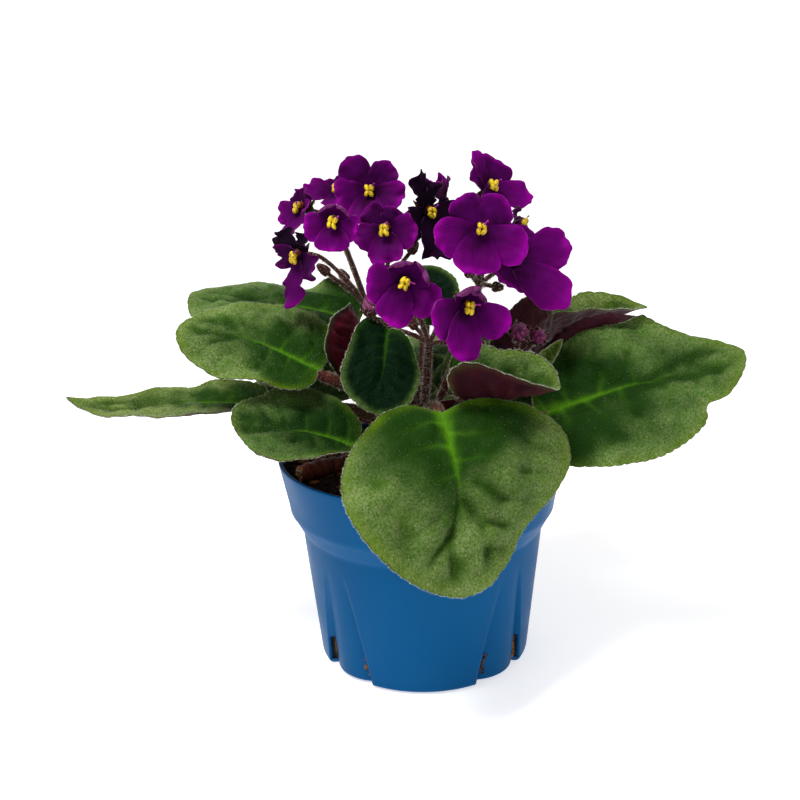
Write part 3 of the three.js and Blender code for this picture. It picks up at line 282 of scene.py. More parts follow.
# Stage, in metres: the floor sheet, and each softbox with its place, size and power in
# watts.
SWEEP_HALF = 3
SWEEP_FRONT = -1.8
SWEEP_FLAT = 3.2
SWEEP_RADIUS = 1.0
SWEEP_LENGTH = 6
PLANT_MIDDLE = (0, 0, 0.11)
SOFTBOXES = (("top_softbox", (-0.3, -0.3, 1.0), 0.35, 11.0),
             ("left_softbox", (-1.0, -0.8, 0.55), 0.6, 1.3),
             ("right_softbox", (1.05, -0.7, 0.5), 0.6, 2.4))
SENSOR_WIDTH = 36


# ----------------------------------------------------------------- numbers
def unit(v):
    """Each vector over its own length."""
    return v / np.maximum(np.linalg.norm(v, axis=-1, keepdims=True), 1e-9)


def around(angle, reach, height):
    """x, y and z of points at an angle (radians) about the pot's axis: reach times
    cosine, reach times sine, height."""
    return np.stack(np.broadcast_arrays(reach * np.cos(angle), reach * np.sin(angle), height), -1)


def polar(place):
    """(azimuth deg, reach, height) as x, y, z."""
    azimuth, reach, height = place
    return around(np.radians(azimuth), reach, height)


def turned(first, second, angle):
    """The direction, or the coordinate, an angle (radians) round from first toward
    second: first times cosine plus second times sine."""
    return first * np.cos(angle) + second * np.sin(angle)


def placed(origin, axes, x, y, z):
    """Points that lie x, y and z along three axes from an origin."""
    a, b, c = axes
    return origin + x[..., None] * a + y[..., None] * b + z[..., None] * c


def bump(x):
    """A bell: e to minus x squared."""
    return np.exp(-np.square(x))


def ramp(x, low, high):
    """0 below low, 1 above high, smooth between: 3t^2 - 2t^3."""
    t = np.clip((x - low) / (high - low), 0, 1)
    return t * t * (3 - 2 * t)


def ripple(points, size, seed):
    """Smooth noise of about -1 to 1: a sum of sine waves in random directions whose
    wavelengths are near the given size."""
    rng = np.random.default_rng(seed)
    total = np.zeros(points.shape[:-1])
    for _ in range(9):
        way = unit(rng.normal(size=3)) * 2 * np.pi / (size * rng.uniform(0.6, 1.7))
        total += np.sin(points @ way + rng.uniform(0, 2 * np.pi))
    return total / 4


def spline(points, steps):
    """A Catmull-Rom curve through points: cubic pieces whose slope at each point is
    half the way from the point before to the point after."""
    p = np.asarray(points, float)
    p = np.vstack([2 * p[0] - p[1], p, 2 * p[-1] - p[-2]])
    t = np.linspace(0, 1, steps, endpoint=False)[:, None]
    pieces = []
    for a, b, c, d in zip(p, p[1:], p[2:], p[3:]):
        pieces.append(0.5 * (2 * b + (c - a) * t + (2 * a - 5 * b + 4 * c - d) * t**2
                             + (3 * b - 3 * c + d - a) * t**3))
    return np.vstack([*pieces, p[-2:-1]])


def bezier(a, b, c, d, steps):
    """The cubic Bezier curve with end points a and d and handles b and c."""
    t = np.linspace(0, 1, steps + 1)[:, None]
    return (1 - t) ** 3 * a + 3 * (1 - t) ** 2 * t * b + 3 * (1 - t) * t**2 * c + t**3 * d


# ------------------------------------------------------------ mesh building
def grid_faces(rows, columns, closed=False):
    """Quads of a grid of points; closed joins its last column to its first."""
    row, column = np.meshgrid(np.arange(rows - 1), np.arange(columns - (not closed)),
                              indexing="ij")
    after = (column + 1) % columns
    a = row * columns
    b = a + columns
    return np.stack([a + column, a + after, b + after, b + column], -1).reshape(-1, 4)


def fan_faces(centre, ring):
    """Triangles from one point to each side of a closed ring of points."""
    return np.stack([np.full(len(ring), centre), ring, np.roll(ring, -1)], -1)


def joining_faces(first, second, offset):
    """Quads that join each pair of points of a grid to the pair offset from it."""
    return np.stack([first, second, second + offset, first + offset], -1)


def closed_rings(rings, ends):
    """Rings of points in a stack, closed by a point at each end: all the points in
    one list, and their faces."""
    rows, columns = rings.shape[:2]
    count = rows * columns
    ring = np.arange(columns)
    faces = [grid_faces(rows, columns, closed=True), fan_faces(count, ring[::-1]),
             fan_faces(count + 1, ring + count - columns)]
    return np.vstack([rings.reshape(-1, 3), ends]), faces


def grid_border(rows, columns):
    """The numbers of a grid's outermost points, once round."""
    number = np.arange(rows * columns).reshape(rows, columns)
    return np.concatenate([number[0, :-1], number[:-1, -1], number[-1, :0:-1], number[:0:-1, 0]])


def sheet_normals(points, faces):
    """A normal at each point: the sum of the area normals of the faces around it."""
    normals = np.zeros_like(points)
    for f in faces:
        across = points[f[:, 2]] - points[f[:, 0]]
        other = points[f[:, -1]] - points[f[:, 1]]
        n = np.cross(across, other)
        for k in range(f.shape[1]):
            np.add.at(normals, f[:, k], n)
    return unit(normals)


def inside_out(points, faces):
    """True when the closed surface's signed volume is negative."""
    total = 0
    for f in faces:
        for k in range(1, f.shape[1] - 1):
            a, b, c = points[f[:, 0]], points[f[:, k]], points[f[:, k + 1]]
            total += np.einsum("ij,ij->", a, np.cross(b, c))
    return total < 0


class Build:
    """Closed surfaces, in millimetres, gathered into the mesh of one piece."""

    def __init__(self, *values):
        self.points = []
        self.faces = []
        self.slots = []
        self.values = {name: [] for name in values}
        self.count = 0

    def add(self, points, faces, slots=0, **values):
        """Adds a closed surface: points, corner arrays, a material slot for all or
        for each corner array, and the piece's values at each point."""
        points = np.asarray(points, float).reshape(-1, 3)
        slots = [slots] * len(faces) if isinstance(slots, int) else slots
        if inside_out(points, faces):
            faces = [f[:, ::-1] for f in faces]
        self.points.append(points)
        self.faces += [f + self.count for f in faces]
        self.slots += [np.full(len(f), slot) for f, slot in zip(faces, slots)]
        for name, lists in self.values.items():
            lists.append(np.broadcast_to(values.get(name, 0.0), len(points)))
        self.count += len(points)

    def piece(self, name, materials, replaces):
        """Makes the mesh and its object, which rides on the plant's one body."""
        mesh = bpy.data.meshes.new(name)
        points = np.concatenate(self.points) * MM
        mesh.vertices.add(len(points))
        mesh.vertices.foreach_set("co", points.ravel())
        corners = np.concatenate([f.ravel() for f in self.faces])
        sizes = np.concatenate([np.full(len(f), f.shape[1]) for f in self.faces])
        mesh.loops.add(len(corners))
        mesh.loops.foreach_set("vertex_index", corners)
        mesh.polygons.add(len(sizes))
        mesh.polygons.foreach_set("loop_start", np.cumsum(sizes) - sizes)
        mesh.polygons.foreach_set("material_index", np.concatenate(self.slots))
        mesh.polygons.foreach_set("use_smooth", np.ones(len(sizes), bool))
        for value, lists in self.values.items():
            layer = mesh.attributes.new(value, "FLOAT", "POINT")
            layer.data.foreach_set("value", np.concatenate(lists))
        for material in materials:
            mesh.materials.append(material)
        mesh.update(calc_edges=True)
        made = bpy.data.objects.new(name, mesh)
        bpy.context.scene.collection.objects.link(made)
        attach(made, "root")
        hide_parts(*replaces)


def add_tube(build, path, radii, sides, slots=0, rough=0.0, **values):
    """A round tube along a path: at each path point a ring at right angles to it,
    turned as little as can be from the ring before, with a domed cap at each end.
    rough makes each radius uneven by that share."""
    path = np.asarray(path, float)
    radii = np.broadcast_to(radii, len(path)).astype(float)
    ahead = unit(np.gradient(path, axis=0))
    side = np.zeros_like(path)
    last = np.array([0.31, 0.87, 0.38])
    for i, direction in enumerate(ahead):
        last = unit(last - direction * (last @ direction))
        side[i] = last
    other = np.cross(ahead, side)
    angle = np.linspace(0, 2 * np.pi, sides, endpoint=False)
    ring = turned(side[:, None], other[:, None], angle[:, None])
    uneven = 1 + rough * ripple(path[:, None] + 3 * ring, 5, len(path))
    rings = path[:, None] + ring * (radii[:, None] * uneven)[..., None]
    caps, ends = [], []
    for end, way in ((0, -1), (-1, 1)):
        out = way * ahead[end] * radii[end]
        caps.append(path[end] + out * 0.3 + (rings[end] - path[end]) * 0.6)
        ends.append(path[end] + out * 0.42)
    points, faces = closed_rings(np.concatenate([caps[:1], rings, caps[1:]]), ends)
    build.add(points, faces, slots, **values)


def add_hairs(build, roots, ways, lengths, radius, slots, **values):
    """Straight tapered hairs: a three-cornered foot around each root and one tip a
    length away, four triangles each, with one value of each kind to a hair."""
    ways = unit(ways)
    helper = np.where(np.abs(ways[:, 2:]) > 0.9, [[1.0, 0, 0]], [[0, 0, 1.0]])
    side = unit(np.cross(ways, helper))
    other = np.cross(ways, side)
    corners = [roots + radius * turned(side, other, a) for a in np.radians([0, 120, 240])]
    points = np.stack([*corners, roots + ways * np.reshape(lengths, (-1, 1))], 1)
    start = 4 * np.arange(len(roots))[:, None]
    faces = [start + np.array([t]) for t in ((0, 1, 3), (1, 2, 3), (2, 0, 3), (0, 2, 1))]
    build.add(points, [np.concatenate(faces)], slots,
              **{name: np.repeat(value, 4) for name, value in values.items()})


def add_tube_hairs(build, path, radii, density, length, slots, rng):
    """Hairs that stand out from a tube, density to a square millimetre, leaning a
    little along it."""
    path = np.asarray(path, float)
    radii = np.broadcast_to(radii, len(path)).astype(float)
    steps = np.linalg.norm(np.diff(path, axis=0), axis=1)
    total = steps.sum()
    count = int(density * total * 2 * np.pi * radii.mean())
    run = np.concatenate([[0], np.cumsum(steps)])
    place = rng.uniform(0, total, count)
    at = np.stack([np.interp(place, run, path[:, k]) for k in range(3)], -1)
    r = np.interp(place, run, radii)[:, None]
    ahead = unit(np.gradient(path, axis=0))
    ahead = unit(np.stack([np.interp(place, run, ahead[:, k]) for k in range(3)], -1))
    out = rng.normal(size=(count, 3))
    out = unit(out - ahead * np.sum(out * ahead, -1, keepdims=True))
    ways = out + ahead * rng.uniform(-0.4, 0.6, (count, 1))
    add_hairs(build, at + out * r * 0.93, ways, length * rng.uniform(0.5, 1.15, count),
              STEM_HAIR_RADIUS, slots)


def add_ellipsoid(build, centre, axes, radii, columns, rows, slots=0):
    """A ball stretched along three axes at right angles: polar angle down the rows,
    azimuth along the columns, a single point at each pole."""
    polar_angle = np.linspace(0, np.pi, rows + 1)[1:-1, None]
    azimuth = np.linspace(0, 2 * np.pi, columns, endpoint=False)[None]
    ball = around(azimuth, np.sin(polar_angle), np.cos(polar_angle))
    ball, faces = closed_rings(ball, [[0, 0, 1], [0, 0, -1]])
    build.add(centre + ball @ (np.asarray(axes) * np.reshape(radii, (3, 1))), faces, slots)


def add_plate(build, middle, faces, border, thickness, slots, **values):
    """A leaf or petal: its middle sheet moved half a thickness to each side along
    its normals, with both sheets' borders joined."""
    normals = sheet_normals(middle, faces)
    half = np.reshape(thickness, (-1, 1)) / 2 * normals
    count = len(middle)
    points = np.vstack([middle + half, middle - half])
    edge = joining_faces(border, np.roll(border, -1), count)
    back = [f[:, ::-1] + count for f in faces]
    front_slot, back_slot = slots
    all_slots = [front_slot] * len(faces) + [back_slot] * len(faces) + [front_slot]
    doubled = {name: np.tile(value, 2) for name, value in values.items()}
    build.add(points, [*faces, *back, edge[:, ::-1]], all_slots, **doubled)


# ---------------------------------------------------------------- materials
# What a mask or a height is drawn from, besides one of the piece's own values by its
# name: fractal noise or cells on Object coordinates, size mm across; streaks that run
# along a petal; and another source spread so that low gives least and high gives most.
Noise = namedtuple("Noise", "size detail rough stretch", defaults=(3.0, 0.5, None))
Cells = namedtuple("Cells", "size")
Streaks = namedtuple("Streaks", "across along")
Spread = namedtuple("Spread", "source low high least most", defaults=(0.0, 1.0))
PETAL_VEINS = Spread(Streaks("fan", "along"), 0.5, 0.64)
MIX_COLOUR = 2  # where a Mix node gives its colour


def linear(code):
    """An sRGB hex colour as linear red, green, blue and alpha."""
    parts = np.array([int(code[i:i + 2], 16) for i in (1, 3, 5)]) / 255
    low = parts / 12.92
    high = ((parts + 0.055) / 1.055) ** 2.4
    return (*np.where(parts <= 0.04045, low, high), 1.0)


def node(tree, kind, values=None, out=0):
    """Adds a node and gives one of its outputs. Each value goes to the input of that
    name, or to the node's own property where it has no such input: another node's
    output, which is linked, a colour's hex code, or a plain value."""
    made = tree.nodes.new("ShaderNode" + kind)
    for name, value in (values or {}).items():
        place = next((socket for socket in made.inputs if socket.identifier == name), None)
        if isinstance(value, bpy.types.NodeSocket):
            tree.links.new(value, place)
        elif place is None:
            setattr(made, name, value)
        else:
            place.default_value = linear(value) if isinstance(value, str) else value
    return made.outputs[out] if made.outputs else None


def drawn(tree, source):
    """The output that gives a source's value; a number or a hex code stays as it is."""
    if isinstance(source, Spread):
        return node(tree, "MapRange", {
            "Value": drawn(tree, source.source), "From Min": source.low,
            "From Max": source.high, "To Min": source.least, "To Max": source.most})
    if isinstance(source, Streaks):
        where = node(tree, "CombineXYZ", {"X": drawn(tree, source.across),
                                          "Y": drawn(tree, source.along)})
        return node(tree, "TexNoise", {"Scale": 1.0, "Detail": 3.0, "Roughness": 0.6,
                                       "Vector": where}, "Fac")
    if isinstance(source, (Noise, Cells)):
        where = node(tree, "TexCoord", out="Object")
        scale = 1 / (source.size * MM)
    if isinstance(source, Cells):
        return node(tree, "TexVoronoi", {"feature": "DISTANCE_TO_EDGE", "Scale": scale,
                                         "Vector": where}, "Distance")
    if isinstance(source, Noise):
        if source.stretch:
            where = node(tree, "Mapping", {"Scale": source.stretch, "Vector": where})
        return node(tree, "TexNoise", {"Scale": scale, "Detail": source.detail,
                                       "Roughness": source.rough, "Vector": where}, "Fac")
    if isinstance(source, str) and source[0] != "#":
        return node(tree, "Attribute", {"attribute_name": source}, "Fac")
    return source


def product(tree, sources):
    """Sources and plain numbers multiplied together."""
    total, *others = (drawn(tree, source) for source in sources)
    for other in others:
        total = node(tree, "Math", {"operation": "MULTIPLY", "Value": total,
                                    "Value_001": other})
    return total


def surface(name, base, coats, height=(), rise=0.0, strength=1.0, **settings):
    """A material of one Principled shader. Coats of colour are mixed over the base
    colour, each by the product of its masks. The normal follows the product of the
    height's sources, rise mm high at 1. Settings are the shader's other inputs."""
    material = bpy.data.materials.new(name)
    material.use_nodes = True
    tree = material.node_tree
    tree.nodes.clear()
    for code, *masks in coats:
        base = node(tree, "Mix", {"data_type": "RGBA", "Factor_Float": product(tree, masks),
                                  "A_Color": base, "B_Color": code}, MIX_COLOUR)
    inputs = {key.replace("_", " "): drawn(tree, value) for key, value in settings.items()}
    inputs["Base Color"] = base
    if height:
        inputs["Normal"] = node(tree, "Bump", {"Height": product(tree, height),
                                               "Distance": rise * MM, "Strength": strength})
    shader = node(tree, "BsdfPrincipled", inputs)
    node(tree, "OutputMaterial", {"Surface": shader})
    return material


def leaf_upper(settings):
    """Living leaf, upper face: waxy green under silky hairs. The hairs' frost is kept
    out of the hollows, so it also paints the crests lighter as a highlight. Painted
    shade darkens the hollows of the quilting, the creases between the cells, blades
    that lie in the shade of others and, with its greener colour, the blade's base.
    The cells between the small veins give a fine pebbled relief."""
    patches = Spread(Noise(14, 2), 0.35, 0.65)
    coats = [(settings.fresh, Spread("shade", 0.0, 0.5)),
             ("#35540c", patches, 0.7),
             # The hairs' silvery frost, kept out of the hollows: also a painted highlight on the
             # crests.
             (settings.frost, Spread(Noise(0.9, 3, 0.7), 0.36, 0.6),
              Spread(Noise(4.5, 3, 0.6), 0.15, 0.55), Spread("vein", 1.2, 0.0),
              Spread(patches, 2.4, -0.1), 0.8),
             # Greener toward the base, and darker there as painted shade among the other leaves.
             (settings.green, "near", 0.95),
             (settings.margin, "rim", Spread(patches, -0.6, 1.6)),
             # Painted shade in the hollows of the quilting.
             ("#143206", "vein", 0.6),
             # Painted shade in the creases between the cells.
             ("#12300a", Spread(Cells(1.3), 0.12, 0.0), 0.35),
             # A young blade's dark green, and painted shade on a blade in the shade of others.
             (settings.dark, "shade"),
             (settings.rib, "rib")]
    return surface("hairy_leaf_upper", settings.olive, coats,
                   (Spread(Cells(1.3), 0.0, 0.3), Noise(0.8, 3, 0.6)), 0.5, 0.8,
                   Roughness=0.55, IOR=1.4, Specular_IOR_Level=0.06)


def leaf_under(settings):
    """Living leaf, underside: wine-red felt with paler ribs and a green margin."""
    coats = [("#3c0e18", Spread(Noise(9), 0.3, 0.7), 0.6),
             ("#5c1222", Spread("shade", 0.42, 0.6)),
             ("#3a1c1c", "vein", 0.3),
             ("#5a4030", "rib", 0.4),
             ("#6a7a2e", "rim", "rim", 0.35)]
    return surface("hairy_leaf_underside", settings.under, coats, (Noise(1.1, 3, 0.6),), 0.3,
                   0.8, Roughness=0.6, IOR=1.42, Specular_IOR_Level=0.1)


def leaf_hair(settings):
    """Leaf hair: a clear hollow thread that takes on the colour of the leaf below it,
    with its painted shade at the base and on shaded blades. Pale along the margin,
    where the light comes through, and on the few glinting hairs as a painted highlight."""
    coats = [("#b7c298", Spread(Noise(4, 2), 0.3, 0.7)),
             ("#183c06", "near", 0.95),
             ("#061808", "shade", 0.95),
             ("#d9e0c6", "rim")]
    return surface("silky_leaf_hair", settings.frost, coats, Roughness=0.4,
                   Specular_IOR_Level=0.08)


def plain_hair(name, code, tint):
    """Plant hair: a clear hollow thread, seen as a pale glint."""
    return surface(name, code, [(tint, Spread(Noise(4, 2), 0.3, 0.7))], Roughness=0.35, IOR=1.45)


def stem_skin(name, code, light, dark):
    """Juicy plant stem: satin skin with fine lengthwise streaks, redder and paler, and
    darker patches where it is older."""
    streaks = Spread(Noise(2.2, 3, 0.6, (1, 1, 0.25)), 0.35, 0.68)
    coats = [(light, streaks), (dark, Spread(Noise(17, 2), 0.42, 0.62), 0.6)]
    return surface(name, code, coats, (streaks,), 0.25, 0.6,
                   Roughness=0.5, IOR=1.42, Specular_IOR_Level=0.25)


def petal_face(settings):
    """Violet petal, inner face: cone-shaped cells, drawn coarse enough to show, give a
    deep velvet colour and a fine glitter. Painted shade darkens the throat and the
    upper petals; fine dark veins, and a brighter rim with a painted highlight along
    its thin edge."""
    # The throat's dark colour gives way to the petal's: partly its own darker base, partly painted
    # shade in the throat.
    coats = [(settings.petal, "along"),
             (settings.rim, "edge"),
             # Painted shade on the upper petals.
             ("#2c0030", "shade"),
             ("#1e0022", PETAL_VEINS, Spread("edge", 0.9, 0.0), 0.45),
             # Painted highlight along the thin edge.
             ("#a844a6", Spread("edge", 0.82, 1.0), 0.4),
             ("#52005a", Spread(Noise(5, 2), 0.35, 0.7), 0.45),
             # Faded when old, and painted shade on a bloom that lies in shade.
             (settings.faded, "age")]
    return surface("violet_petal_face", settings.throat, coats, (Noise(0.55, 2, 0.6),), 0.12,
                   0.6, Roughness=0.65, IOR=1.4, Specular_IOR_Level=0.04)


def petal_back(name, tone, rosy):
    """Violet petal, outer face: paler, pink with a silky bloom of short hairs, darker
    toward the claw, with patches of painted highlight.
    """
    streaks = Spread(Noise(1.6), 0.4, 0.65)
    coats = [(tone, "along"),
             (rosy, streaks, 0.7),
             # Painted highlight in patches, toward the tip.
             ("#b87aa4", Spread(Noise(2.6, 3, 0.6), 0.52, 0.68), "along", 0.18),
             ("#3a0a34", PETAL_VEINS, 0.6),
             # Dark when old, and painted shade on a bloom that lies in shade.
             ("#2a1030", "age", 0.8)]
    return surface(name, "#3c083c", coats, (streaks,), 0.12, 0.5, Roughness=0.6, IOR=1.4,
                   Specular_IOR_Level=0.2, Sheen_Weight=0.08, Sheen_Roughness=0.4,
                   Sheen_Tint="#f0c0e8")


def pollen_sac(settings):
    """Anther: smooth waxy pollen sacs, bright yellow over a darker yellow-brown that shows in
    patches.
    """
    return surface("waxy_pollen_sac", settings.anther_dark,
                   [(settings.anther, Spread(Noise(1.3), 0.34, 0.66))], (Noise(0.6, 2),), 0.12,
                   0.7, Roughness=0.42, IOR=1.45)


def moulded_plastic(settings):
    """Polypropylene, injection moulded: even colour, satin skin with a faint orange
    peel, dulled by dust in patches and by soil specks near the foot and the rim."""
    dust = Spread(Noise(26, 4, 0.6), 0.42, 0.72)
    coats = [("#0d4f7c", dust, 0.3),
             ("#4a3a2c", Spread(Noise(1.6, 4, 0.7), 0.71, 0.76), "soiled"),
             ("#54402a", Spread(Noise(2.2, 4, 0.7), 0.46, 0.56), Spread("soiled", 1.0, 1.5))]
    return surface("moulded_polypropylene", settings.colour, coats, (Noise(1.1, 2),), 0.03,
                   0.35, Roughness=Spread(dust, 0.0, 1.0, 0.34, 0.5), IOR=1.49,
                   Specular_IOR_Level=0.05)


def peat(name, dark, light, size):
    """Peat and bark mix: matt, near black when damp, with brown fibre crumbs."""
    return surface(name, dark, [(light, Spread(Noise(size, 4, 0.65), 0.38, 0.66))],
                   (Noise(size * 0.6, 4, 0.7),), 0.8, Roughness=0.92, IOR=1.45)


def lit_acrylic(settings):
    """Opal acrylic sheet, lit from behind: an even pale white with no shine."""
    return surface("lit_opal_acrylic", settings.paper, [("#ffffff", Noise(400, 2))],
                   Roughness=0.95, IOR=1.3, Emission_Color="#ffffff",
                   Emission_Strength=settings.glow)


# -------------------------------------------------------------------- leaves
def margin_reach(leaf, length, phi):
    """Distance from the blade's middle to its margin in direction phi (0 is the
    tip): a superellipse with its own length to tip and base, less a bell-shaped
    notch at the base, times slow waves, plus rounded teeth about 6 mm wide."""
    middle = leaf.wide * length
    left = phi > 0
    lobe = np.where(left, *leaf.lobes) * length
    half = np.where(left, *leaf.half)
    ahead = np.cos(phi) > 0
    a = np.where(ahead, length - middle, middle + lobe)
    p = np.where(ahead, leaf.point, 2.4)
    r = (np.abs(np.cos(phi) / a) ** p + np.abs(np.sin(phi) / half) ** p) ** (-1 / p)
    notch = bump((np.pi - np.abs(phi)) / NOTCH_WIDTH)
    r = r - leaf.notch * notch * lobe
    waves = [w(k * phi) for k in (2, 3, 4) for w in (np.cos, np.sin)]
    r = r * (1 + sum(share * wave for share, wave in zip(leaf.form, waves)))
    teeth = 2 * round(2.6 * (length + sum(leaf.half)) / TOOTH_WIDTH / 2)
    tooth = np.sqrt(np.abs(np.sin(teeth * phi / 2 + leaf.phase + 0.4 * np.sin(3 * phi)))) - 0.7
    r = r + min(0.55, 0.02 * length) * (1 - notch) * tooth
    if leaf.nick:
        r = r * (1 - 0.12 * bump((phi - np.radians(leaf.nick)) / 0.12))
    return r


def leaf_axes(leaf):
    """The blade's base point, chord direction, left side, upward normal, bend and
    arc length: the chord runs from notch to tip and is the chord of an arc."""
    base = polar(leaf.base)
    chord = polar(leaf.tip) - base
    span = np.linalg.norm(chord)
    ahead = chord / span
    up = np.array([0, 0, 1.0])
    if abs(ahead[2]) > 0.9:
        up = unit(np.array([-base[0], -base[1], 0.3 * np.hypot(base[0], base[1])]))
    up = unit(up - ahead * (up @ ahead))
    left = np.cross(up, ahead)
    normal = turned(up, left, np.radians(leaf.turn[0]))
    bend = np.radians(leaf.turn[1])
    length = span * bend / 2 / np.sin(bend / 2)
    return base, ahead, np.cross(normal, ahead), normal, bend, length


def vein_pattern(leaf, length, x, y):
    """Distance along the midrib counted in spacings of the side veins, and how far a
    point lies from the side veins nearest to it (0 on one, 1 midway). Side veins leave
    the midrib at even spacings, those of one side between those of the other, and bow
    to the tip."""
    half = sum(leaf.half) / 2
    away = np.abs(y)
    start = (x + 0.16 * away - 0.3 * away**2 / half) / (1 + 0.95 * away / length)
    start = start + 0.02 * length * np.sin(0.16 * x + 0.23 * y + 5 * leaf.phase)
    spacings = start / length * SIDE_VEINS + np.where(y > 0, 0.0, 0.45) + 0.3
    return spacings, 0.5 - 0.5 * np.cos(2 * np.pi * spacings)


def rolled_margin(leaf, rho, phi, reach):
    """Where part of the margin is rolled up, its outer fifth runs along an arc. Gives
    the share that is rolled, the reach in the blade's plane and the height of the arc."""
    towards, width, turn = np.radians(leaf.rolled)
    off = np.angle(np.exp(1j * (phi - towards)))
    weight = np.exp(-(off / width) ** 4)
    past = np.clip(rho - 0.8, 0, None)
    angle = np.maximum(weight * turn * past / 0.2, 1e-6)
    over = past * reach * (1 + 0.7 * weight + 0.1 * weight * np.sin(44 * phi))
    flat = np.minimum(rho, 0.8) * (1 + 0.2 * weight * rho)
    reach = (flat * reach + over * np.sin(angle) / angle) / np.maximum(rho, 1e-6)
    return weight, reach, over * (1 - np.cos(angle)) / angle


def leaf_relief(leaf, length, x, y, rho, spot):
    """Height of the quilting, in fortieths of the blade's half-width, and the vein
    spacings along the midrib: swellings between the side veins, two long valleys
    toward the tip, and noise that dies away at the margin and along the keel."""
    half = sum(leaf.half) / 2
    away = np.abs(y)
    spacings, between = vein_pattern(leaf, length, x, y)
    flank = ramp(away, 0, 0.3 * half) * (1 - ramp(rho, 0.6, 1))
    valley = ramp(x / length, 0.35, 0.6) * (1 - ramp(rho, 0.75, 1))
    split = 0.17 * half * ramp(x / length, 0.45, 0.75)
    swell = 2.8 * (0.7 + 0.5 * ripple(spot, 0.8 * half, 6)) * flank * (between**0.6 - 0.5)
    by_keel = (1 - ramp(away, 2, 7)) * (1 - ramp(x / length, 0.4, 0.6))
    relief = (swell - 3.2 * valley * bump((away - split) / 3)
              + (1 - by_keel) * (1.4 * ripple(spot, 0.5 * half, 3) * (1 - rho**4)
                                 + 0.7 * ripple(spot, 0.2 * half, 4) * (1 - rho**6)))
    return relief, spacings


def bent_sheet(leaf, axes, x, y, h):
    """The blade's points from its flat x and y and its height: twisted about the
    midrib, then bent into an arc of a circle whose chord runs from notch to tip."""
    base, ahead, side, normal, bend, length = axes
    twist = np.radians(leaf.turn[2]) * x / length
    across = turned(y, -h, twist)
    above = turned(h, y, twist)
    k = bend / length
    arc_x = np.sin(k * x) / k + above * np.sin(k * x)
    arc_z = -(1 - np.cos(k * x)) / k + above * np.cos(k * x)
    along = turned(arc_x, -arc_z, bend / 2)
    rise = turned(arc_z, arc_x, bend / 2)
    return placed(base, (ahead, side, normal), along, across, rise)


def leaf_sheet(leaf, axes, rho, phi, quilt):
    """The blade's middle surface and its point values. rho runs from the blade's
    middle to its margin, phi turns around it. The height is a cup, a V-fold, curls,
    margin waves, a rolled stretch, soft quilting and a groove at the midrib."""
    length = axes[5]
    reach = margin_reach(leaf, length, phi)
    half = sum(leaf.half) / 2
    rolled_height = weight = 0
    if leaf.rolled:
        weight, reach, rolled_height = rolled_margin(leaf, rho, phi, reach)
    x = leaf.wide * length + rho * reach * np.cos(phi)
    y = rho * reach * np.sin(phi)
    away = np.abs(y)
    v = away / np.where(y > 0, *leaf.half)
    spot = np.stack([x, y, 40 * leaf.phase + 0 * x], -1)
    relief, spacings = leaf_relief(leaf, length, x, y, rho, spot)
    cup, fold, curl_left, curl_right, tip_curl = leaf.lift
    h = cup * v**2 + fold * (np.sqrt(v**2 + 0.01) - 0.1)
    h = h + np.where(y > 0, curl_left, curl_right) * v**3
    h = h + MARGIN_WAVE * rho**3 * np.sin(5 * phi + 3 * leaf.phase)
    h = h - 0.08 * bump(v / 0.2) * np.clip(1 - x / length, 0, 1)
    h = h * half + tip_curl * np.clip((x / length - 0.7) / 0.3, 0, 1) ** 2 * length * 0.3
    h = h + quilt * half / 40 * relief
    h = h - quilt * 0.6 * bump(y / 1.5) * np.clip(1 - x / length, 0, 1)
    h = h + 0.55 * rho**6 * ripple(spot, 11, 5) + rolled_height
    fade = np.clip(1.02 - x / length, 0, 1)
    wide_rib = (0.45 + 2.6 * fade**3 * (half / 41) ** 1.4) * (1 + 0.25 * ripple(spot, 5, 8))
    branches = bump(np.sin(np.pi * spacings) / (0.2 + 0.02 * away)) * bump(away / (0.3 * half))
    values = {
        # near: a greener base, darkened there as painted shade where the other leaves shade it.
        "near": ramp(0.8 - x / length - 0.7 * (y / half) ** 2 + 0.3 * leaf.shade
                     + 0.12 * ripple(spot, 0.5 * half, 10), 0.05, 0.6),
        "rim": ramp(rho, 0.84, 1.0) * (0.8 + 0.4 * ripple(spot, 14, 9)) * (1 - weight)
        * (1 - 0.6 * leaf.shade),
        "rib": (0.8 * bump(y / wide_rib) + 0.3 * branches) * ramp(fade, 0.35, 0.9)
        * (1 - 0.7 * leaf.shade**4),
        # Painted shade in the hollows of the quilting, where the sunken side veins run; on the
        # underside it paints the pale veins.
        "vein": 1 - ramp(relief, -2.8, -0.2),
        # shade: a young blade's dark green, and painted shade on a blade that lies in the shade of
        # others; less at the margin.
        "shade": leaf.shade * (1 - 0.5 * ramp(rho, 0.8, 1.05)) + 0 * x,
    }
    return bent_sheet(leaf, axes, x, y, h), values


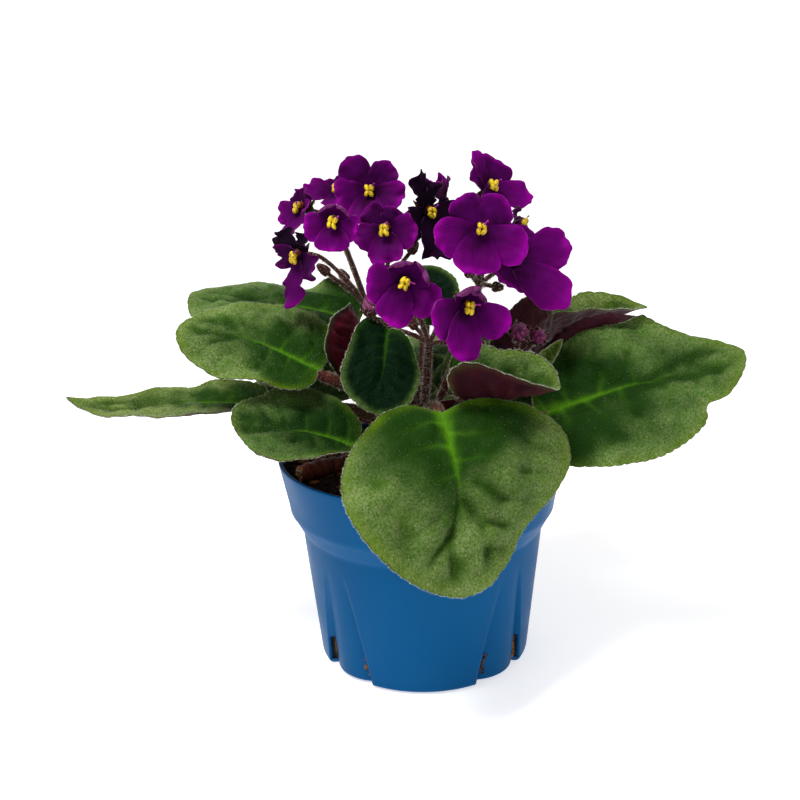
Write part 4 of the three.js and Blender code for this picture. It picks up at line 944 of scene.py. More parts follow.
def add_leaf(build, leaf, axes, settings, rings, columns, rng):
    """One blade with its hairs: rings of points around the blade's middle, made a
    plate, then hairs sown evenly over both faces and along the margin."""
    rho = np.linspace(0, 1, rings + 1)[1:, None] ** 0.85
    phi = np.linspace(-np.pi, np.pi, columns, endpoint=False)[None]
    sheet, values = leaf_sheet(leaf, axes, rho + 0 * phi, phi + 0 * rho, settings.quilt)
    centre, centre_values = leaf_sheet(leaf, axes, np.zeros((1, 1)), np.zeros((1, 1)),
                                       settings.quilt)
    middle = np.vstack([sheet.reshape(-1, 3), centre.reshape(-1, 3)])
    point_values = {name: np.append(value.ravel(), centre_values[name].ravel())
                    for name, value in values.items()}
    ring = np.arange(columns)
    faces = [grid_faces(rings, columns, closed=True), fan_faces(len(middle) - 1, ring[::-1])]
    scale = min(1, sum(leaf.half) / 30)
    depth = np.append(np.repeat(rho.ravel(), columns), 0)
    thick, edge = BLADE_THICK
    thickness = scale * (thick + (edge - thick) * depth**2)
    normals = sheet_normals(middle, faces)
    upward = normals[-1] @ axes[3] > 0
    add_plate(build, middle, faces, ring + (rings - 1) * columns, thickness,
              (0, 1) if upward else (1, 0), **point_values)
    ahead = axes[1]
    if not upward:
        normals = -normals
    add_blade_hairs(build, middle, normals, thickness, faces, ahead, point_values, settings, rng)
    margin = slice((rings - 1) * columns, rings * columns)
    outward = unit(middle[margin] - middle[(rings - 3) * columns:(rings - 2) * columns])
    add_margin_hairs(build, middle[margin], outward, normals[margin], settings, rng)


def add_blade_hairs(build, middle, normals, thickness, faces, ahead, values, settings, rng):
    """Hairs on both faces: quads chosen by area, a random place in each, leaning
    from the normal toward the tip, with the blade's values at that place. A few
    thicker ones are painted pale like the margin's hairs, a painted highlight that
    glints."""
    quads = faces[0]
    spans = np.cross(middle[quads[:, 2]] - middle[quads[:, 0]],
                     middle[quads[:, 3]] - middle[quads[:, 1]])
    area = np.linalg.norm(spans, axis=1) / 2
    for face, share, slot in ((1, 1.0, 2), (-1, UNDER_SHARE, 3)):
        count = int(area.sum() * settings.hairs * share)
        chosen = quads[rng.choice(len(quads), count, p=area / area.sum())]
        s, t = rng.uniform(size=(2, count, 1))
        weights = np.stack([(1 - s) * (1 - t), s * (1 - t), s * t, (1 - s) * t], 1)
        at = np.sum(middle[chosen] * weights, 1)
        normal = unit(np.sum(normals[chosen] * weights, 1)) * face
        half = np.sum(thickness[chosen][..., None] * weights, 1) / 2
        ways = normal + 0.9 * ahead + 0.55 * rng.normal(size=(count, 3))
        shade = values["shade"][chosen[:, :1]]
        short = settings.hair_length * rng.uniform(0.5, 1.2, count) * (1 - 0.5 * shade[:, 0])
        bright = rng.uniform(size=count) < GLINT_SHARE
        here = {name: values[name][chosen[:, 0]] for name in ("near", "shade")}
        # Painted highlight: the glinting hairs are pale like the margin's.
        here["rim"] = 0.8 * bright * (1 - 0.7 * shade[:, 0])
        add_hairs(build, at + normal * (half - 0.05), ways, short,
                  np.where(bright, GLINT_RADIUS, HAIR_RADIUS)[:, None], slot, **here)


def add_margin_hairs(build, margin, outward, normals, settings, rng):
    """A fringe of hairs that point out from the margin."""
    after = np.roll(margin, -1, axis=0)
    steps = np.linalg.norm(after - margin, axis=1)
    count = int(steps.sum() * settings.fringe)
    chosen = rng.choice(len(margin), count, p=steps / steps.sum())
    s = rng.uniform(size=(count, 1))
    at = margin[chosen] * (1 - s) + after[chosen] * s
    ways = outward[chosen] + 0.35 * rng.normal(size=(count, 3)) + 0.3 * normals[chosen]
    add_hairs(build, at - outward[chosen] * 0.1, ways,
              settings.hair_length * rng.uniform(0.5, 1.1, count), FRINGE_RADIUS, 2,
              rim=np.ones(count))


def keel_point(leaf, axes, rho, radius):
    """A point under the midrib, clear of the underside by the keel gap, and the
    direction of the midrib there."""
    def at(share, turn):
        """A point of the blade's sheet without its quilting."""
        found, _ = leaf_sheet(leaf, axes, np.array([[share]]), np.array([[turn]]), 0)
        return found[0, 0]

    place = at(rho, np.pi)
    ahead = unit(at(rho - 0.1, np.pi) - place)
    across = at(rho, np.pi - 0.5) - at(rho, 0.5 - np.pi)
    down = unit(np.cross(across, ahead))
    thick, edge = PLATE_THICK
    half = (thick + (edge - thick) * rho**2) / 2
    return place + down * (half + radius + KEEL_GAP), ahead


def petiole_path(leaf, axes):
    """From the crown, out and up on a Bezier curve, then under the blade as the
    keel of its midrib; with the radius at each point."""
    thick, thin = PETIOLE_RADII
    mouth, ahead = keel_point(leaf, axes, 1, thin)
    out = unit(mouth * [1, 1, 0])
    rise = np.array([0, 0, 1.0])
    start = rise * (PETIOLE_FOOT + np.clip((leaf.base[2] - 108) * 0.3, 0, 10)) + out * 4
    span = np.linalg.norm(mouth - start)
    path = bezier(start, start + out * 0.2 * span + rise * 0.32 * span,
                  mouth - ahead * 0.3 * span, mouth, 14)
    radii = np.linspace(thick, thin, 15)
    keel = [keel_point(leaf, axes, rho, clear)[0] for rho, _, clear in KEEL]
    return np.vstack([path, keel]), np.append(radii, [radius for _, radius, _ in KEEL])


def make_leaves(settings):
    """Every blade as its own piece in place of its node."""
    materials = [leaf_upper(settings), leaf_under(settings),
                 leaf_hair(settings), plain_hair("silky_underleaf_hair", "#3c1c1e", "#5c3c3a")]
    for number, leaf in enumerate(LEAVES):
        rng = np.random.default_rng([SEED, number])
        axes = leaf_axes(leaf)
        large = max(leaf.half) > 22
        build = Build("near", "rim", "rib", "vein", "shade")
        add_leaf(build, leaf, axes, settings, 44 if large else 32, 240 if large else 160, rng)
        build.piece(f"blade_{leaf.name[5:]}", materials, (leaf.name,))


def add_centre_leaves(build, settings, rng):
    """Small leaves at the top of the stem, nearly a sixth of a turn apart, each on a
    short stem along a Bezier curve."""
    for k in range(CENTRE_LEAVES):
        azimuth = 15 + 61.0 * k
        leaf = SMALL_LEAF._replace(base=(azimuth, 7.5 + k % 2, 101), phase=0.5 * k,
                                   tip=(azimuth + 6, 15 + k % 3, 113 + k % 4))
        axes = notch, ahead, *_ = leaf_axes(leaf)
        add_leaf(build, leaf, axes, settings, 12, 48, rng)
        foot = polar((azimuth, 5, 98))
        path = bezier(foot, foot + [0, 0, 1.5], notch - ahead * 2, notch + ahead, 5)
        add_tube(build, path, 1.0, 8, 3)


def add_inner_leaves(build, settings, rng):
    """Half-grown leaves among the petioles, each on a hairy stem along a Bezier
    curve."""
    for base, tip, roll, half in INNER_LEAVES:
        leaf = SMALL_LEAF._replace(base=base, tip=tip, turn=(roll, 20, 0), half=(half, half),
                                   lift=(0.2, 0.1, 0, 0, 0), phase=base[0])
        axes = notch, ahead, *_ = leaf_axes(leaf)
        add_leaf(build, leaf, axes, settings, 18, 72, rng)
        foot = polar((base[0], 6, 96))
        path = bezier(foot, foot + [0, 0, 3], notch - ahead * 4, notch + ahead, 8)
        add_tube(build, path, 1.2, 10, 3)
        add_tube_hairs(build, path, 1.2, 1.6, 1.2, 2, rng)


def make_crown(settings):
    """The short stem, its eighteen petioles, the small young leaves at its top and
    the half-grown ones among the petioles."""
    materials = [leaf_upper(settings), leaf_under(settings),
                 plain_hair("silky_petiole_hair", "#a08a78", "#c8b8a4"),
                 stem_skin("red_petiole_skin", "#3a1210", "#5a221a", "#2a3010")]
    rng = np.random.default_rng([SEED, 100])
    build = Build("near", "rim", "rib", "vein", "shade")
    heights, radii = np.array(CROWN).T
    fine = np.linspace(heights[0], heights[-1], 24)
    path = np.stack([0 * fine, 0 * fine, fine], -1)
    add_tube(build, path, np.interp(fine, heights, radii), 36, 3, rough=0.12)
    for leaf in LEAVES:
        axes = leaf_axes(leaf)
        path, radii = petiole_path(leaf, axes)
        add_tube(build, path, radii, 14, 3, rough=0.04)
        add_tube_hairs(build, path[:-4], radii[:-4], 1.25, 1.5, 2, rng)
    add_centre_leaves(build, settings, rng)
    add_inner_leaves(build, settings, rng)
    build.piece("crown_with_petioles", materials, ("crown_and_petioles",))


# -------------------------------------------------------------------- blooms
def bloom_axes(bloom):
    """Throat centre, facing direction, right and up of a bloom, from its yaw,
    pitch and roll."""
    yaw, pitch, roll = np.radians(bloom.face)
    facing = np.array([np.sin(yaw) * np.cos(pitch), -np.cos(yaw) * np.cos(pitch), np.sin(pitch)])
    level = unit(np.cross([0, 0, 1.0], facing))
    upright = np.cross(facing, level)
    right = turned(level, upright, roll)
    up = turned(upright, -level, roll)
    return np.array(bloom.at, float), facing, right, up


def petal_outline(u):
    """Half-width share along a petal: a swelling sine from a narrow claw, closed by
    a rounded end over the last third."""
    swell = 0.18 + 0.82 * np.sin(np.pi * u * 0.62) ** 0.8
    return swell * np.sqrt(np.clip(1 - np.clip((u - 0.62) / 0.38, 0, 1) ** 2.4, 0, None))


def rolled_petal(bloom, index, length, reach):
    """How far out and forward a point of a petal comes whose way along the petal is
    reach. Its slope grows evenly; a hooded upper petal bends over near its tip."""
    upper = index < 2
    run = np.linspace(0, 1.25 * length, 200)
    bend = (bloom.curl if upper else 0.12) * run / length
    if upper and bloom.curl:
        bend = bend + 2.6 * ramp(run / length, 0.72, 1.02)
    return [np.interp(reach, run, np.concatenate([[0], np.cumsum(wave(bend[:-1]) * run[1])]))
            for wave in (np.cos, np.sin)]


def petal_sheet(bloom, axes, index, u, v):
    """A petal's middle surface: u from throat to tip, v from edge to edge. It lies
    on a cone, one above another for the petals of a bloom; the upper two may roll
    forward, most at their tips. Sine waves and noise ruffle the margin, the more the
    older the bloom is, and fine ribs fan from the claw."""
    centre, facing, right, up = axes
    petal = PETALS[index]
    upper = index < 2
    rng = np.random.default_rng([SEED, bloom.number, index])
    turn = np.radians(petal.turn + bloom.swing[index])
    length = bloom.size * petal.length * bloom.long[index]
    half = bloom.size * petal.width * bloom.broad[index] / 2
    swell, _, roll, frill = rng.uniform(0, 2 * np.pi, 4)
    across = v * half * petal_outline(u)
    forward = u * length
    bearing = np.arctan2(across, forward - 0.5 * length)
    edge = np.clip((1 - (1 - v**4) * (1 - ramp(u, 0.7, 1))) * u * 1.3, 0, 1)
    wither = 1 + 2.2 * bloom.age
    ruffle = ripple(np.stack([2.2 * bearing, 0 * u, 0 * u], -1), 1, [bloom.number, index])
    stretch = 1 + edge * (0.03 * np.sin(3 * bearing + swell) + 0.022 * wither * ruffle)
    across, forward = across * stretch, forward * stretch
    reach = np.hypot(forward, across)
    out, rolled = rolled_petal(bloom, index, length, reach)
    wave = 0.7 * wither * edge * np.sin(4 * bearing + roll)
    wave = wave + 0.3 * wither * edge * np.sin(9 * bearing + frill)
    spot = np.stack([forward, across, 20 * index + 0 * u], -1)
    wave = wave + 0.4 * ramp(u, 0.25, 0.6) * ripple(spot, 6, bloom.number)
    rib = 0.06 * np.cos(16 * v) * ramp(u, 0.1, 0.4) * (1 - ramp(u, 0.8, 1))
    crown = 0.7 * ramp(u, 0.15, 0.6) * (1 - v**2) - 0.2
    cup = np.radians(bloom.cup)
    lift = (turned(rolled, out, cup) + petal.layer + PETAL_SEAT + wave + rib
            + crown * (0.5 if upper else 1))
    shrink = turned(out, -rolled, cup) / np.maximum(reach, 1e-6)
    x = shrink * turned(forward, -across, turn)
    y = shrink * turned(across, forward, turn)
    points = placed(centre, (right, up, facing), x, y, lift)
    # Below 0.9 the upper petals take half as much again and the lower one less: painted shade,
    # darker above.
    aged_and_shaded = bloom.age * (1.5, 1.5, 1, 1, 0.6)[index] if bloom.age < 0.9 else bloom.age
    # along: partly the petal's own darker base, partly painted shade in the throat.
    values = {"along": ramp(reach / bloom.size, 0.12, 0.95),
              "edge": 0.8 * edge**2 + 0.2 * np.maximum(ramp(np.abs(v), 0.94, 1), ramp(u, 0.975, 1)),
              # shade: painted shade on the two upper petals, less toward their edges.
              "shade": (0.75 if upper else 0.1) * (1 - 0.5 * edge**2),
              "fan": 9 * v + 20 * index + 7 * bloom.number,
              "age": min(1, aged_and_shaded) + 0 * u}
    return points, values


def add_petal(build, bloom, axes, index):
    """A thin plate from the petal's sheet; its rim runs round all four sides."""
    rows, columns = 28, 21
    t = np.linspace(0, 1, rows)
    u, v = np.meshgrid(0.06 + 0.938 * (1 - (1 - t) ** 1.7),
                       np.sin(np.linspace(-1, 1, columns) * 1.5) / np.sin(1.5), indexing="ij")
    sheet, values = petal_sheet(bloom, axes, index, u, v)
    flat = {name: value.ravel() for name, value in values.items()}
    middle = sheet.reshape(-1, 3)
    faces = [grid_faces(rows, columns)]
    centre_normal = sheet_normals(middle, faces)[rows // 2 * columns + columns // 2]
    slots = (0, 1) if centre_normal @ axes[1] > 0 else (1, 0)
    add_plate(build, middle, faces, grid_border(rows, columns),
              np.full(rows * columns, PETAL_THICK), slots, **flat)


def add_pistil(build, axes, rng):
    """A hairy egg-shaped ovary and, on a Bezier curve that leans aside, a thin style
    with its stigma."""
    centre, facing, right, up = axes
    seat = centre + facing * 3.0 + up * 1.2 + right * 0.4
    add_ellipsoid(build, seat, (right, up, facing), (1.5, 1.5, 1.9), 16, 10, 2)
    add_tube_hairs(build, seat + facing * np.array([[0], [1.2]]), (1.45, 0.9), 2.5, 0.7, 4, rng)
    lean = rng.uniform(-1, 1)
    end = centre + facing * 6.8 + right * (2.6 + lean) + up * (1.8 - lean)
    style = bezier(seat + facing * 1.4, seat + facing * 3.2, end - facing * 1.0, end, 10)
    add_tube(build, style, np.linspace(0.3, 0.22, 11), 8, 3)
    add_ellipsoid(build, end, (right, up, facing), (0.42, 0.42, 0.3), 10, 6, 3)


def make_blooms(settings):
    """Each corolla: five petals fused to a short throat ring, in place of its node,
    and the pistil of an open one."""
    materials = [petal_face(settings),
                 petal_back("violet_petal_back", settings.petal_back, "#6a1a66"),
                 stem_skin("red_ovary_skin", "#541316", "#7a2a20", "#3a0c14"),
                 stem_skin("purple_style_skin", "#8a1a78", "#a83a94", "#5a0a50"),
                 plain_hair("ovary_hair", "#c8a8a0", "#e0c8bc")]
    for bloom in BLOOMS:
        rng = np.random.default_rng([SEED, 200, bloom.number])
        axes = centre, facing, *_ = bloom_axes(bloom)
        build = Build("along", "edge", "shade", "age", "fan")
        path = centre + facing * (0.5 + (THROAT_FRONT - 0.5) * np.linspace(0, 1, 5))[:, None]
        # The throat ring takes at least three tenths of the faded colour: painted shade in the
        # throat.
        add_tube(build, path, (1.6, 2.1, THROAT_RADIUS, 2.2, 1.7), 20, 0,
                 age=0.3 + 0.7 * bloom.age)
        for index in range(5):
            add_petal(build, bloom, axes, index)
        if bloom.open:
            add_pistil(build, axes, rng)
        build.piece(f"corolla_{bloom.number}", materials, (f"bloom_{bloom.number}",))


def make_anthers(settings):
    """The four pollen sacs of each open bloom, bean-shaped, on two bowed filaments."""
    materials = [pollen_sac(settings)]
    for bloom in BLOOMS:
        if bloom.number in BARE_BLOOMS:
            continue
        rng = np.random.default_rng([SEED, 300, bloom.number])
        centre, facing, right, up = bloom_axes(bloom)
        build = Build()
        middle = centre + facing * ANTHER_HEIGHT
        for k, turn in enumerate(np.radians((45, 135, 225, 315)) + rng.uniform(-0.2, 0.2)):
            out = turned(right, 1.15 * up, turn)
            long = turned(right, up, np.pi / 2 + rng.uniform(-0.7, 0.7))
            cross = np.cross(facing, long)
            seat = middle + out * 1.25 + facing * rng.uniform(-0.5, 0.5)
            plump = rng.uniform(0.85, 1.1)
            add_ellipsoid(build, seat, (unit(cross), unit(long), facing),
                          (0.95 * plump, 1.45 * plump, 1.0), 16, 10)
            if k % 2 == 0:
                foot = centre + facing * (THROAT_FRONT - 0.1) + out * 0.5
                path = bezier(foot, foot + facing * 1.2 + out * 0.9, seat - facing, seat, 6)
                add_tube(build, path, 0.42, 8)
        build.piece(f"pollen_sacs_{bloom.number}", materials,
                    (f"anthers_{bloom.number}",))


def make_buds():
    """Closed buds: an egg whose petals wrap as spiral ridges, pinched at the tip."""
    materials = [petal_back("violet_bud_skin", "#8a3460", "#34081c"),
                 petal_back("rosy_bud_skin", "#964e74", "#783056"),
                 plain_hair("bud_hair", "#9a6a80", "#c0a0ae")]
    for number, bud in enumerate(BUDS):
        rng = np.random.default_rng([SEED, 400, number])
        build = Build("along", "edge", "shade", "age", "fan")
        lean = unit(np.array(bud.lean, float))
        side = unit(np.cross(lean, [1.0, 0, 0]))
        other = np.cross(lean, side)
        columns = 40
        t = np.linspace(0, 1, 26)[:, None]
        angle = np.linspace(0, 2 * np.pi, columns, endpoint=False)[None]
        girth = bud.radius * np.interp(t, (0, 0.18, 0.42, 0.72, 0.93, 1),
                                       (0.45, 0.9, 1, 0.66, 0.3, 0.1))
        ridges = 0.3 * np.abs(np.sin(2.5 * (angle + 2.4 * t))) * np.sin(np.pi * t) ** 0.5
        radius = girth * (0.8 + ridges)
        foot = np.array(bud.at)
        rings = placed(foot, (lean, side, other), t * bud.length, radius * np.cos(angle),
                       radius * np.sin(angle))
        points, faces = closed_rings(rings, foot + lean * np.array([[0], [bud.length]]))
        # along runs low in the grooves between the wrapped petals and toward the foot: the skin's
        # dark base shows there as painted shade, and the patches of painted highlight keep to the
        # ridges.
        share = np.append(np.repeat(t.ravel(), columns), [0, 1])
        crease = np.append((radius / girth).ravel(), [1, 1])
        build.add(points, faces, bud.skin, along=ramp(crease, 0.84, 1.0) * (0.6 + 0.4 * share),
                  fan=30 * number + 6 * share)
        path = foot + lean * np.linspace(0.1, 0.7, 6)[:, None] * bud.length
        add_tube_hairs(build, path, bud.radius * 0.85, 0.6, 0.7, 2, rng)
        build.piece(f"closed_{bud.name}", materials, (bud.name,))


# -------------------------------------------------------------------- stalks
def pedicel_path(fork, end, arrive):
    """A Bezier curve that leaves the fork toward its end and a little upward, and
    arrives along the given direction."""
    span = np.linalg.norm(end - fork)
    leave = (end - fork) / span + [0, 0, 0.35]
    return bezier(fork, fork + leave * 0.3 * span, end - arrive * 0.3 * span, end, 12)


def add_sepal(build, root, out, facing, length, width, rng):
    """A lance-shaped sepal: a plate that widens to a third of its length, tapers to
    a point and bows back at its tip."""
    t, s = np.meshgrid(np.linspace(0, 1, 12), np.linspace(-1, 1, 7), indexing="ij")
    side = np.cross(facing, out)
    half = width / 2 * (np.sin(np.pi * t**0.6) * 0.85 + 0.35 * (1 - t))
    tip = rng.uniform(-0.9, 0.3)
    lift = 0.5 * s**2 * half + tip * t**2
    middle = placed(root, (out, side, facing), t * length, s * half, lift).reshape(-1, 3)
    add_plate(build, middle, [grid_faces(*t.shape)], grid_border(*t.shape),
              np.full(t.size, SEPAL_THICK), (0, 0))
    path = root + out * np.linspace(0.1, 0.95, 6)[:, None] * length
    add_tube_hairs(build, path, width * 0.3, 1.6, 1.1, 1, rng)


def add_calyx(build, bloom, rng):
    """The green-red cup behind a bloom and its five sepals. Gives where its pedicel
    ends and the way it arrives there."""
    centre, facing, right, up = bloom_axes(bloom)
    add_ellipsoid(build, centre - facing * 1.4, (right, up, facing), (1.8, 1.8, 1.6), 16, 10)
    for k in range(5):
        out = turned(right, up, np.radians(126 + 72 * k))
        add_sepal(build, centre - facing * 1.1 + out * 0.8, out, facing,
                  5.4 * rng.uniform(0.85, 1.05), 1.9, rng)
    return centre - facing * 2.2, facing


def add_knob(build, at, fork, rng):
    """A young bud still shut in its sepals: an egg of five ridges with a tuft. Gives
    where its pedicel ends and the way it arrives there."""
    lean = unit(at - fork)
    level = unit(np.cross([0, 0, 1.0], lean))
    other = np.cross(lean, level)
    add_ellipsoid(build, at + lean, (level, other, lean), (1.6, 1.6, 2.4), 14, 9)
    for k in range(5):
        out = turned(level, other, np.radians(72 * k + 20))
        path = bezier(at - lean * 1.2 + out * 1.1, at + out * 2.1, at + lean * 2.6 + out * 1.4,
                      at + lean * 4.0 + out * 0.4, 8)
        add_tube(build, path, np.linspace(0.75, 0.25, 9), 7)
        add_tube_hairs(build, path, 0.55, 2.2, 0.9, 1, rng)
    return at, lean


def add_bud_sepals(build, bud, rng):
    """Five sepals that clasp a closed bud from below. Gives where its pedicel ends
    and the way it arrives there."""
    lean = unit(np.array(bud.lean, float))
    seat = np.array(bud.at) - lean * BUD_GAP
    side = unit(np.cross(lean, [1.0, 0, 0]))
    for k in range(5):
        out = turned(side, np.cross(lean, side), np.radians(72 * k + 10))
        way = unit(lean + 0.45 * out)
        add_sepal(build, seat + out * (0.55 * bud.radius + 0.2), way,
                  unit(np.cross(way, np.cross(out, way))), bud.length * 0.58, bud.radius, rng)
    return seat, lean


def make_stalks():
    """Each flower stalk with its pedicels, calyxes, shut buds and hairs."""
    materials = [stem_skin("dark_red_stem_skin", "#2c0c0c", "#4a1a14", "#241a08"),
                 plain_hair("silky_stem_hair", "#b8a294", "#e2d2c4")]
    blooms = {bloom.number: bloom for bloom in BLOOMS}
    buds = {bud.name: bud for bud in BUDS}
    for number, stalk in enumerate(STALKS):
        rng = np.random.default_rng([SEED, 500, number])
        build = Build()
        path = spline(stalk.path, 12)
        radii = np.linspace(*STALK_RADII, len(path))
        add_tube(build, path, radii, 16, 0, rough=0.05)
        add_tube_hairs(build, path, radii, 3.0, 1.4, 1, rng)
        fork = np.array(stalk.path[-1], float)
        ends = [add_calyx(build, blooms[which], rng) for which in stalk.blooms]
        ends += [add_knob(build, np.array(at, float), fork, rng) for at in stalk.knobs]
        ends += [add_bud_sepals(build, buds[name], rng) for name in stalk.buds]
        for end, arrive in ends:
            path = pedicel_path(fork, end, arrive)
            add_tube(build, path, np.linspace(*PEDICEL_RADII, 13), 12, 0, rough=0.04)
            add_tube_hairs(build, path, PEDICEL_RADII[1], 4.0, 1.2, 1, rng)
        build.piece(f"hairy_{stalk.name}", materials, (stalk.name,))


# --------------------------------------------------------------- pot and soil
def pot_radius(z):
    """Outer radius of the pot's wall at height z, between its flutes."""
    return np.interp(z, *np.array(POT_PROFILE, float).T)


def flute(z, place):
    """Half-width (deg) of a flute at height z, and how far its floor is sunk at a
    place from -1 to 1 across it: an arch, deepest at the two stepped sides."""
    level = np.clip(1 - z / FLUTE_TOP, 0, 1)
    wide, narrow = FLUTE_HALF
    return narrow + (wide - narrow) * level, FLUTE_DEPTH * level * (0.12 + 0.88 * place**2)


def wall_columns(z, fine):
    """Angle of each column of the pot's wall at height z, how far it is sunk, and
    its place across a flute. Four times over: a flat panel, a flute, a panel."""
    across = np.linspace(-1, 1, fine)
    half, sink = flute(z, across)
    panel = np.linspace(0, 45 - half, fine, endpoint=False)
    flat = np.zeros(fine)
    turns = np.concatenate([panel - 45, across * (half - STEP_TURN), half + panel])
    angles = np.concatenate([turns + quarter for quarter in (45, 135, 225, 315)])
    return (np.radians(angles), np.tile(np.concatenate([flat, sink, flat]), 4),
            np.tile(np.concatenate([flat, across, flat]), 4))


def wall_rings(levels, inset, fine):
    """Rings of points of the pot's wall, inset from its outer face."""
    rings = []
    for z in levels:
        angle, sink, _ = wall_columns(z, fine)
        rings.append(around(angle, pot_radius(z) - sink - inset, z))
    return np.array(rings)


def pot_levels():
    """Heights of the rings of the pot's wall, closest where it is most curved."""
    low, high = SLOT_HEIGHTS
    spans = ((low, high, 10), (high, FLUTE_TOP, 26), (FLUTE_TOP, COLLAR_FOOT, 6),
             (COLLAR_FOOT, COLLAR_TOP, 10), (COLLAR_TOP, LIP_ROUND[0][0], 14))
    rounded = [height for height, _ in FOOT_ROUND + LIP_ROUND]
    return np.unique(np.concatenate([rounded, [POT_FLOOR],
                                     *(np.linspace(*span) for span in spans)]))


def outer_wall(levels):
    """The wall's outer rings: swollen at the collar's top and pinched at its foot, by
    a bell over height each, and drawn in to round the foot and the lip."""
    rings = wall_rings(levels, 0, WALL_COLUMNS)
    collar = (0.21 * bump((levels - COLLAR_TOP - 0.6) / 1.3)
              - 0.18 * bump((levels - COLLAR_FOOT) / 1.5))
    foot, lip = (np.interp(levels, *np.array(edge).T) for edge in (FOOT_ROUND, LIP_ROUND))
    shrink = 1 - (foot - collar + lip) / np.hypot(rings[:, 0, 0], rings[:, 0, 1])
    rings[..., :2] *= shrink[:, None, None]
    return rings


def slot_cells(levels, places):
    """Which cells of the wall's grid lie in a drain slot: those at the stepped sides
    of each flute, between the slots' heights."""
    start, stop = np.searchsorted(levels, np.array(SLOT_HEIGHTS) - 1e-6)
    side = places > SLOT_INNER
    step = places > 0.99
    gap = np.zeros((len(levels) - 1, len(places)), bool)
    gap[start:stop] = (side & np.roll(side, -1)) | step | np.roll(step, -1)
    return gap


def wall_faces(gap, floor_row):
    """Faces of the wall's outer grid and of its inner one, which starts at the
    floor's row, without the cells in a gap; joined at the rim and round each gap."""
    rows, columns = gap.shape[0] + 1, gap.shape[1]
    offset = (rows - floor_row) * columns
    quads = grid_faces(rows, columns, closed=True).reshape(rows - 1, columns, 4)
    keep = ~gap
    top = np.arange(columns) + (rows - 1) * columns
    faces = [quads[keep], (quads[floor_row:][keep[floor_row:]] + offset)[:, ::-1],
             joining_faces(top, np.roll(top, -1), offset)]
    # For each side of a gap's cells that may meet a kept cell: the step of row and
    # column to it, and the cell's two corners on that side in winding order.
    for row, column, a, b in ((-1, 0, 0, 1), (1, 0, 2, 3), (0, -1, 3, 0), (0, 1, 1, 2)):
        cells = quads[gap & np.roll(keep, (-row, -column), (0, 1))]
        faces.append(joining_faces(cells[:, a], cells[:, b], offset))
    return faces


def soiled_shares(points, places):
    """How soiled each point of the pot is: in a band by the foot, along the rim and,
    on its outer grid, by the drain slots at the steps of the flutes."""
    z = points[:, 2]
    soiled = 0.9 * bump((z - 8) / 9) * (np.hypot(points[:, 0], points[:, 1]) > 38)
    soiled = soiled + 0.9 * bump((z - POT_TOP + 2) / 2.5)
    outer = len(places)
    soiled[:outer] += 1.1 * bump((places - 0.97) / 0.1) * bump((z[:outer] - 7) / 4)
    return soiled


def make_pot(settings):
    """The pot's wall as two matching grids, outer and inner, with a floor plate."""
    levels = pot_levels()
    floor_row = int(np.searchsorted(levels, POT_FLOOR))
    outer = outer_wall(levels)
    rows, columns = outer.shape[:2]
    inner = wall_rings(levels, settings.wall, WALL_COLUMNS)[floor_row:]
    inner[-1, :, :2] *= 1 + LIP_ROUND[-1][1] / (pot_radius(POT_TOP) - settings.wall)
    centres = np.array([[0, 0, 0], [0, 0, POT_FLOOR]])
    points = np.vstack([outer.reshape(-1, 3), inner.reshape(-1, 3), centres])
    places = np.abs(wall_columns(0, WALL_COLUMNS)[2])
    ring = np.arange(columns)
    faces = [*wall_faces(slot_cells(levels, places), floor_row),
             fan_faces(len(points) - 2, ring[::-1]),
             fan_faces(len(points) - 1, ring + rows * columns)]
    build = Build("soiled")
    build.add(points, faces, 0, soiled=soiled_shares(points, np.tile(places, rows)))
    build.piece("nursery_pot", [moulded_plastic(settings)], ("pot",))


def soil_height(x, y):
    """The bed's height: two crossed waves on a flat level."""
    a = np.sin(0.31 * x + 1.3) * np.cos(0.27 * y - 0.4)
    b = np.sin(0.83 * x - 0.66 * y) * 0.5
    return SOIL_TOP + SOIL_ROUGHNESS * (a + b)


def add_crumbs(build, at, sizes, flatness, slot, rng):
    """Crumbs and chips: twenty-sided balls squashed and dented at random, each
    turned its own way and sunk a third into the bed."""
    g = (1 + 5**0.5) / 2
    ball = unit(np.array([(-1, g, 0), (1, g, 0), (-1, -g, 0), (1, -g, 0), (0, -1, g), (0, 1, g),
                          (0, -1, -g), (0, 1, -g), (g, 0, -1), (g, 0, 1), (-g, 0, -1),
                          (-g, 0, 1)], float))
    sides = np.array([(0, 11, 5), (0, 5, 1), (0, 1, 7), (0, 7, 10), (0, 10, 11), (1, 5, 9),
                      (5, 11, 4), (11, 10, 2), (10, 7, 6), (7, 1, 8), (3, 9, 4), (3, 4, 2),
                      (3, 2, 6), (3, 6, 8), (3, 8, 9), (4, 9, 5), (2, 4, 11), (6, 2, 10),
                      (8, 6, 7), (9, 8, 1)])
    count = len(at)
    dents = rng.uniform(0.65, 1.15, (count, 12, 1))
    squash = np.stack([rng.uniform(0.7, 1.3, count), rng.uniform(0.6, 1, count),
                       rng.uniform(*flatness, count)], -1)[:, None]
    spin, tip = rng.uniform(0, 2 * np.pi, count), rng.normal(0, 0.35, count)
    shape = ball[None] * dents * squash * sizes[:, None, None] / 2
    x, y, z = np.moveaxis(shape, -1, 0)
    spin, tip = spin[:, None], tip[:, None]
    y, z = turned(y, -z, tip), turned(z, y, tip)
    x, y = turned(x, -y, spin), turned(y, x, spin)
    points = at[:, None] + np.stack([x, y, z], -1)
    faces = (sides[None] + 12 * np.arange(count)[:, None, None]).reshape(-1, 3)
    build.add(points, [faces], slot)


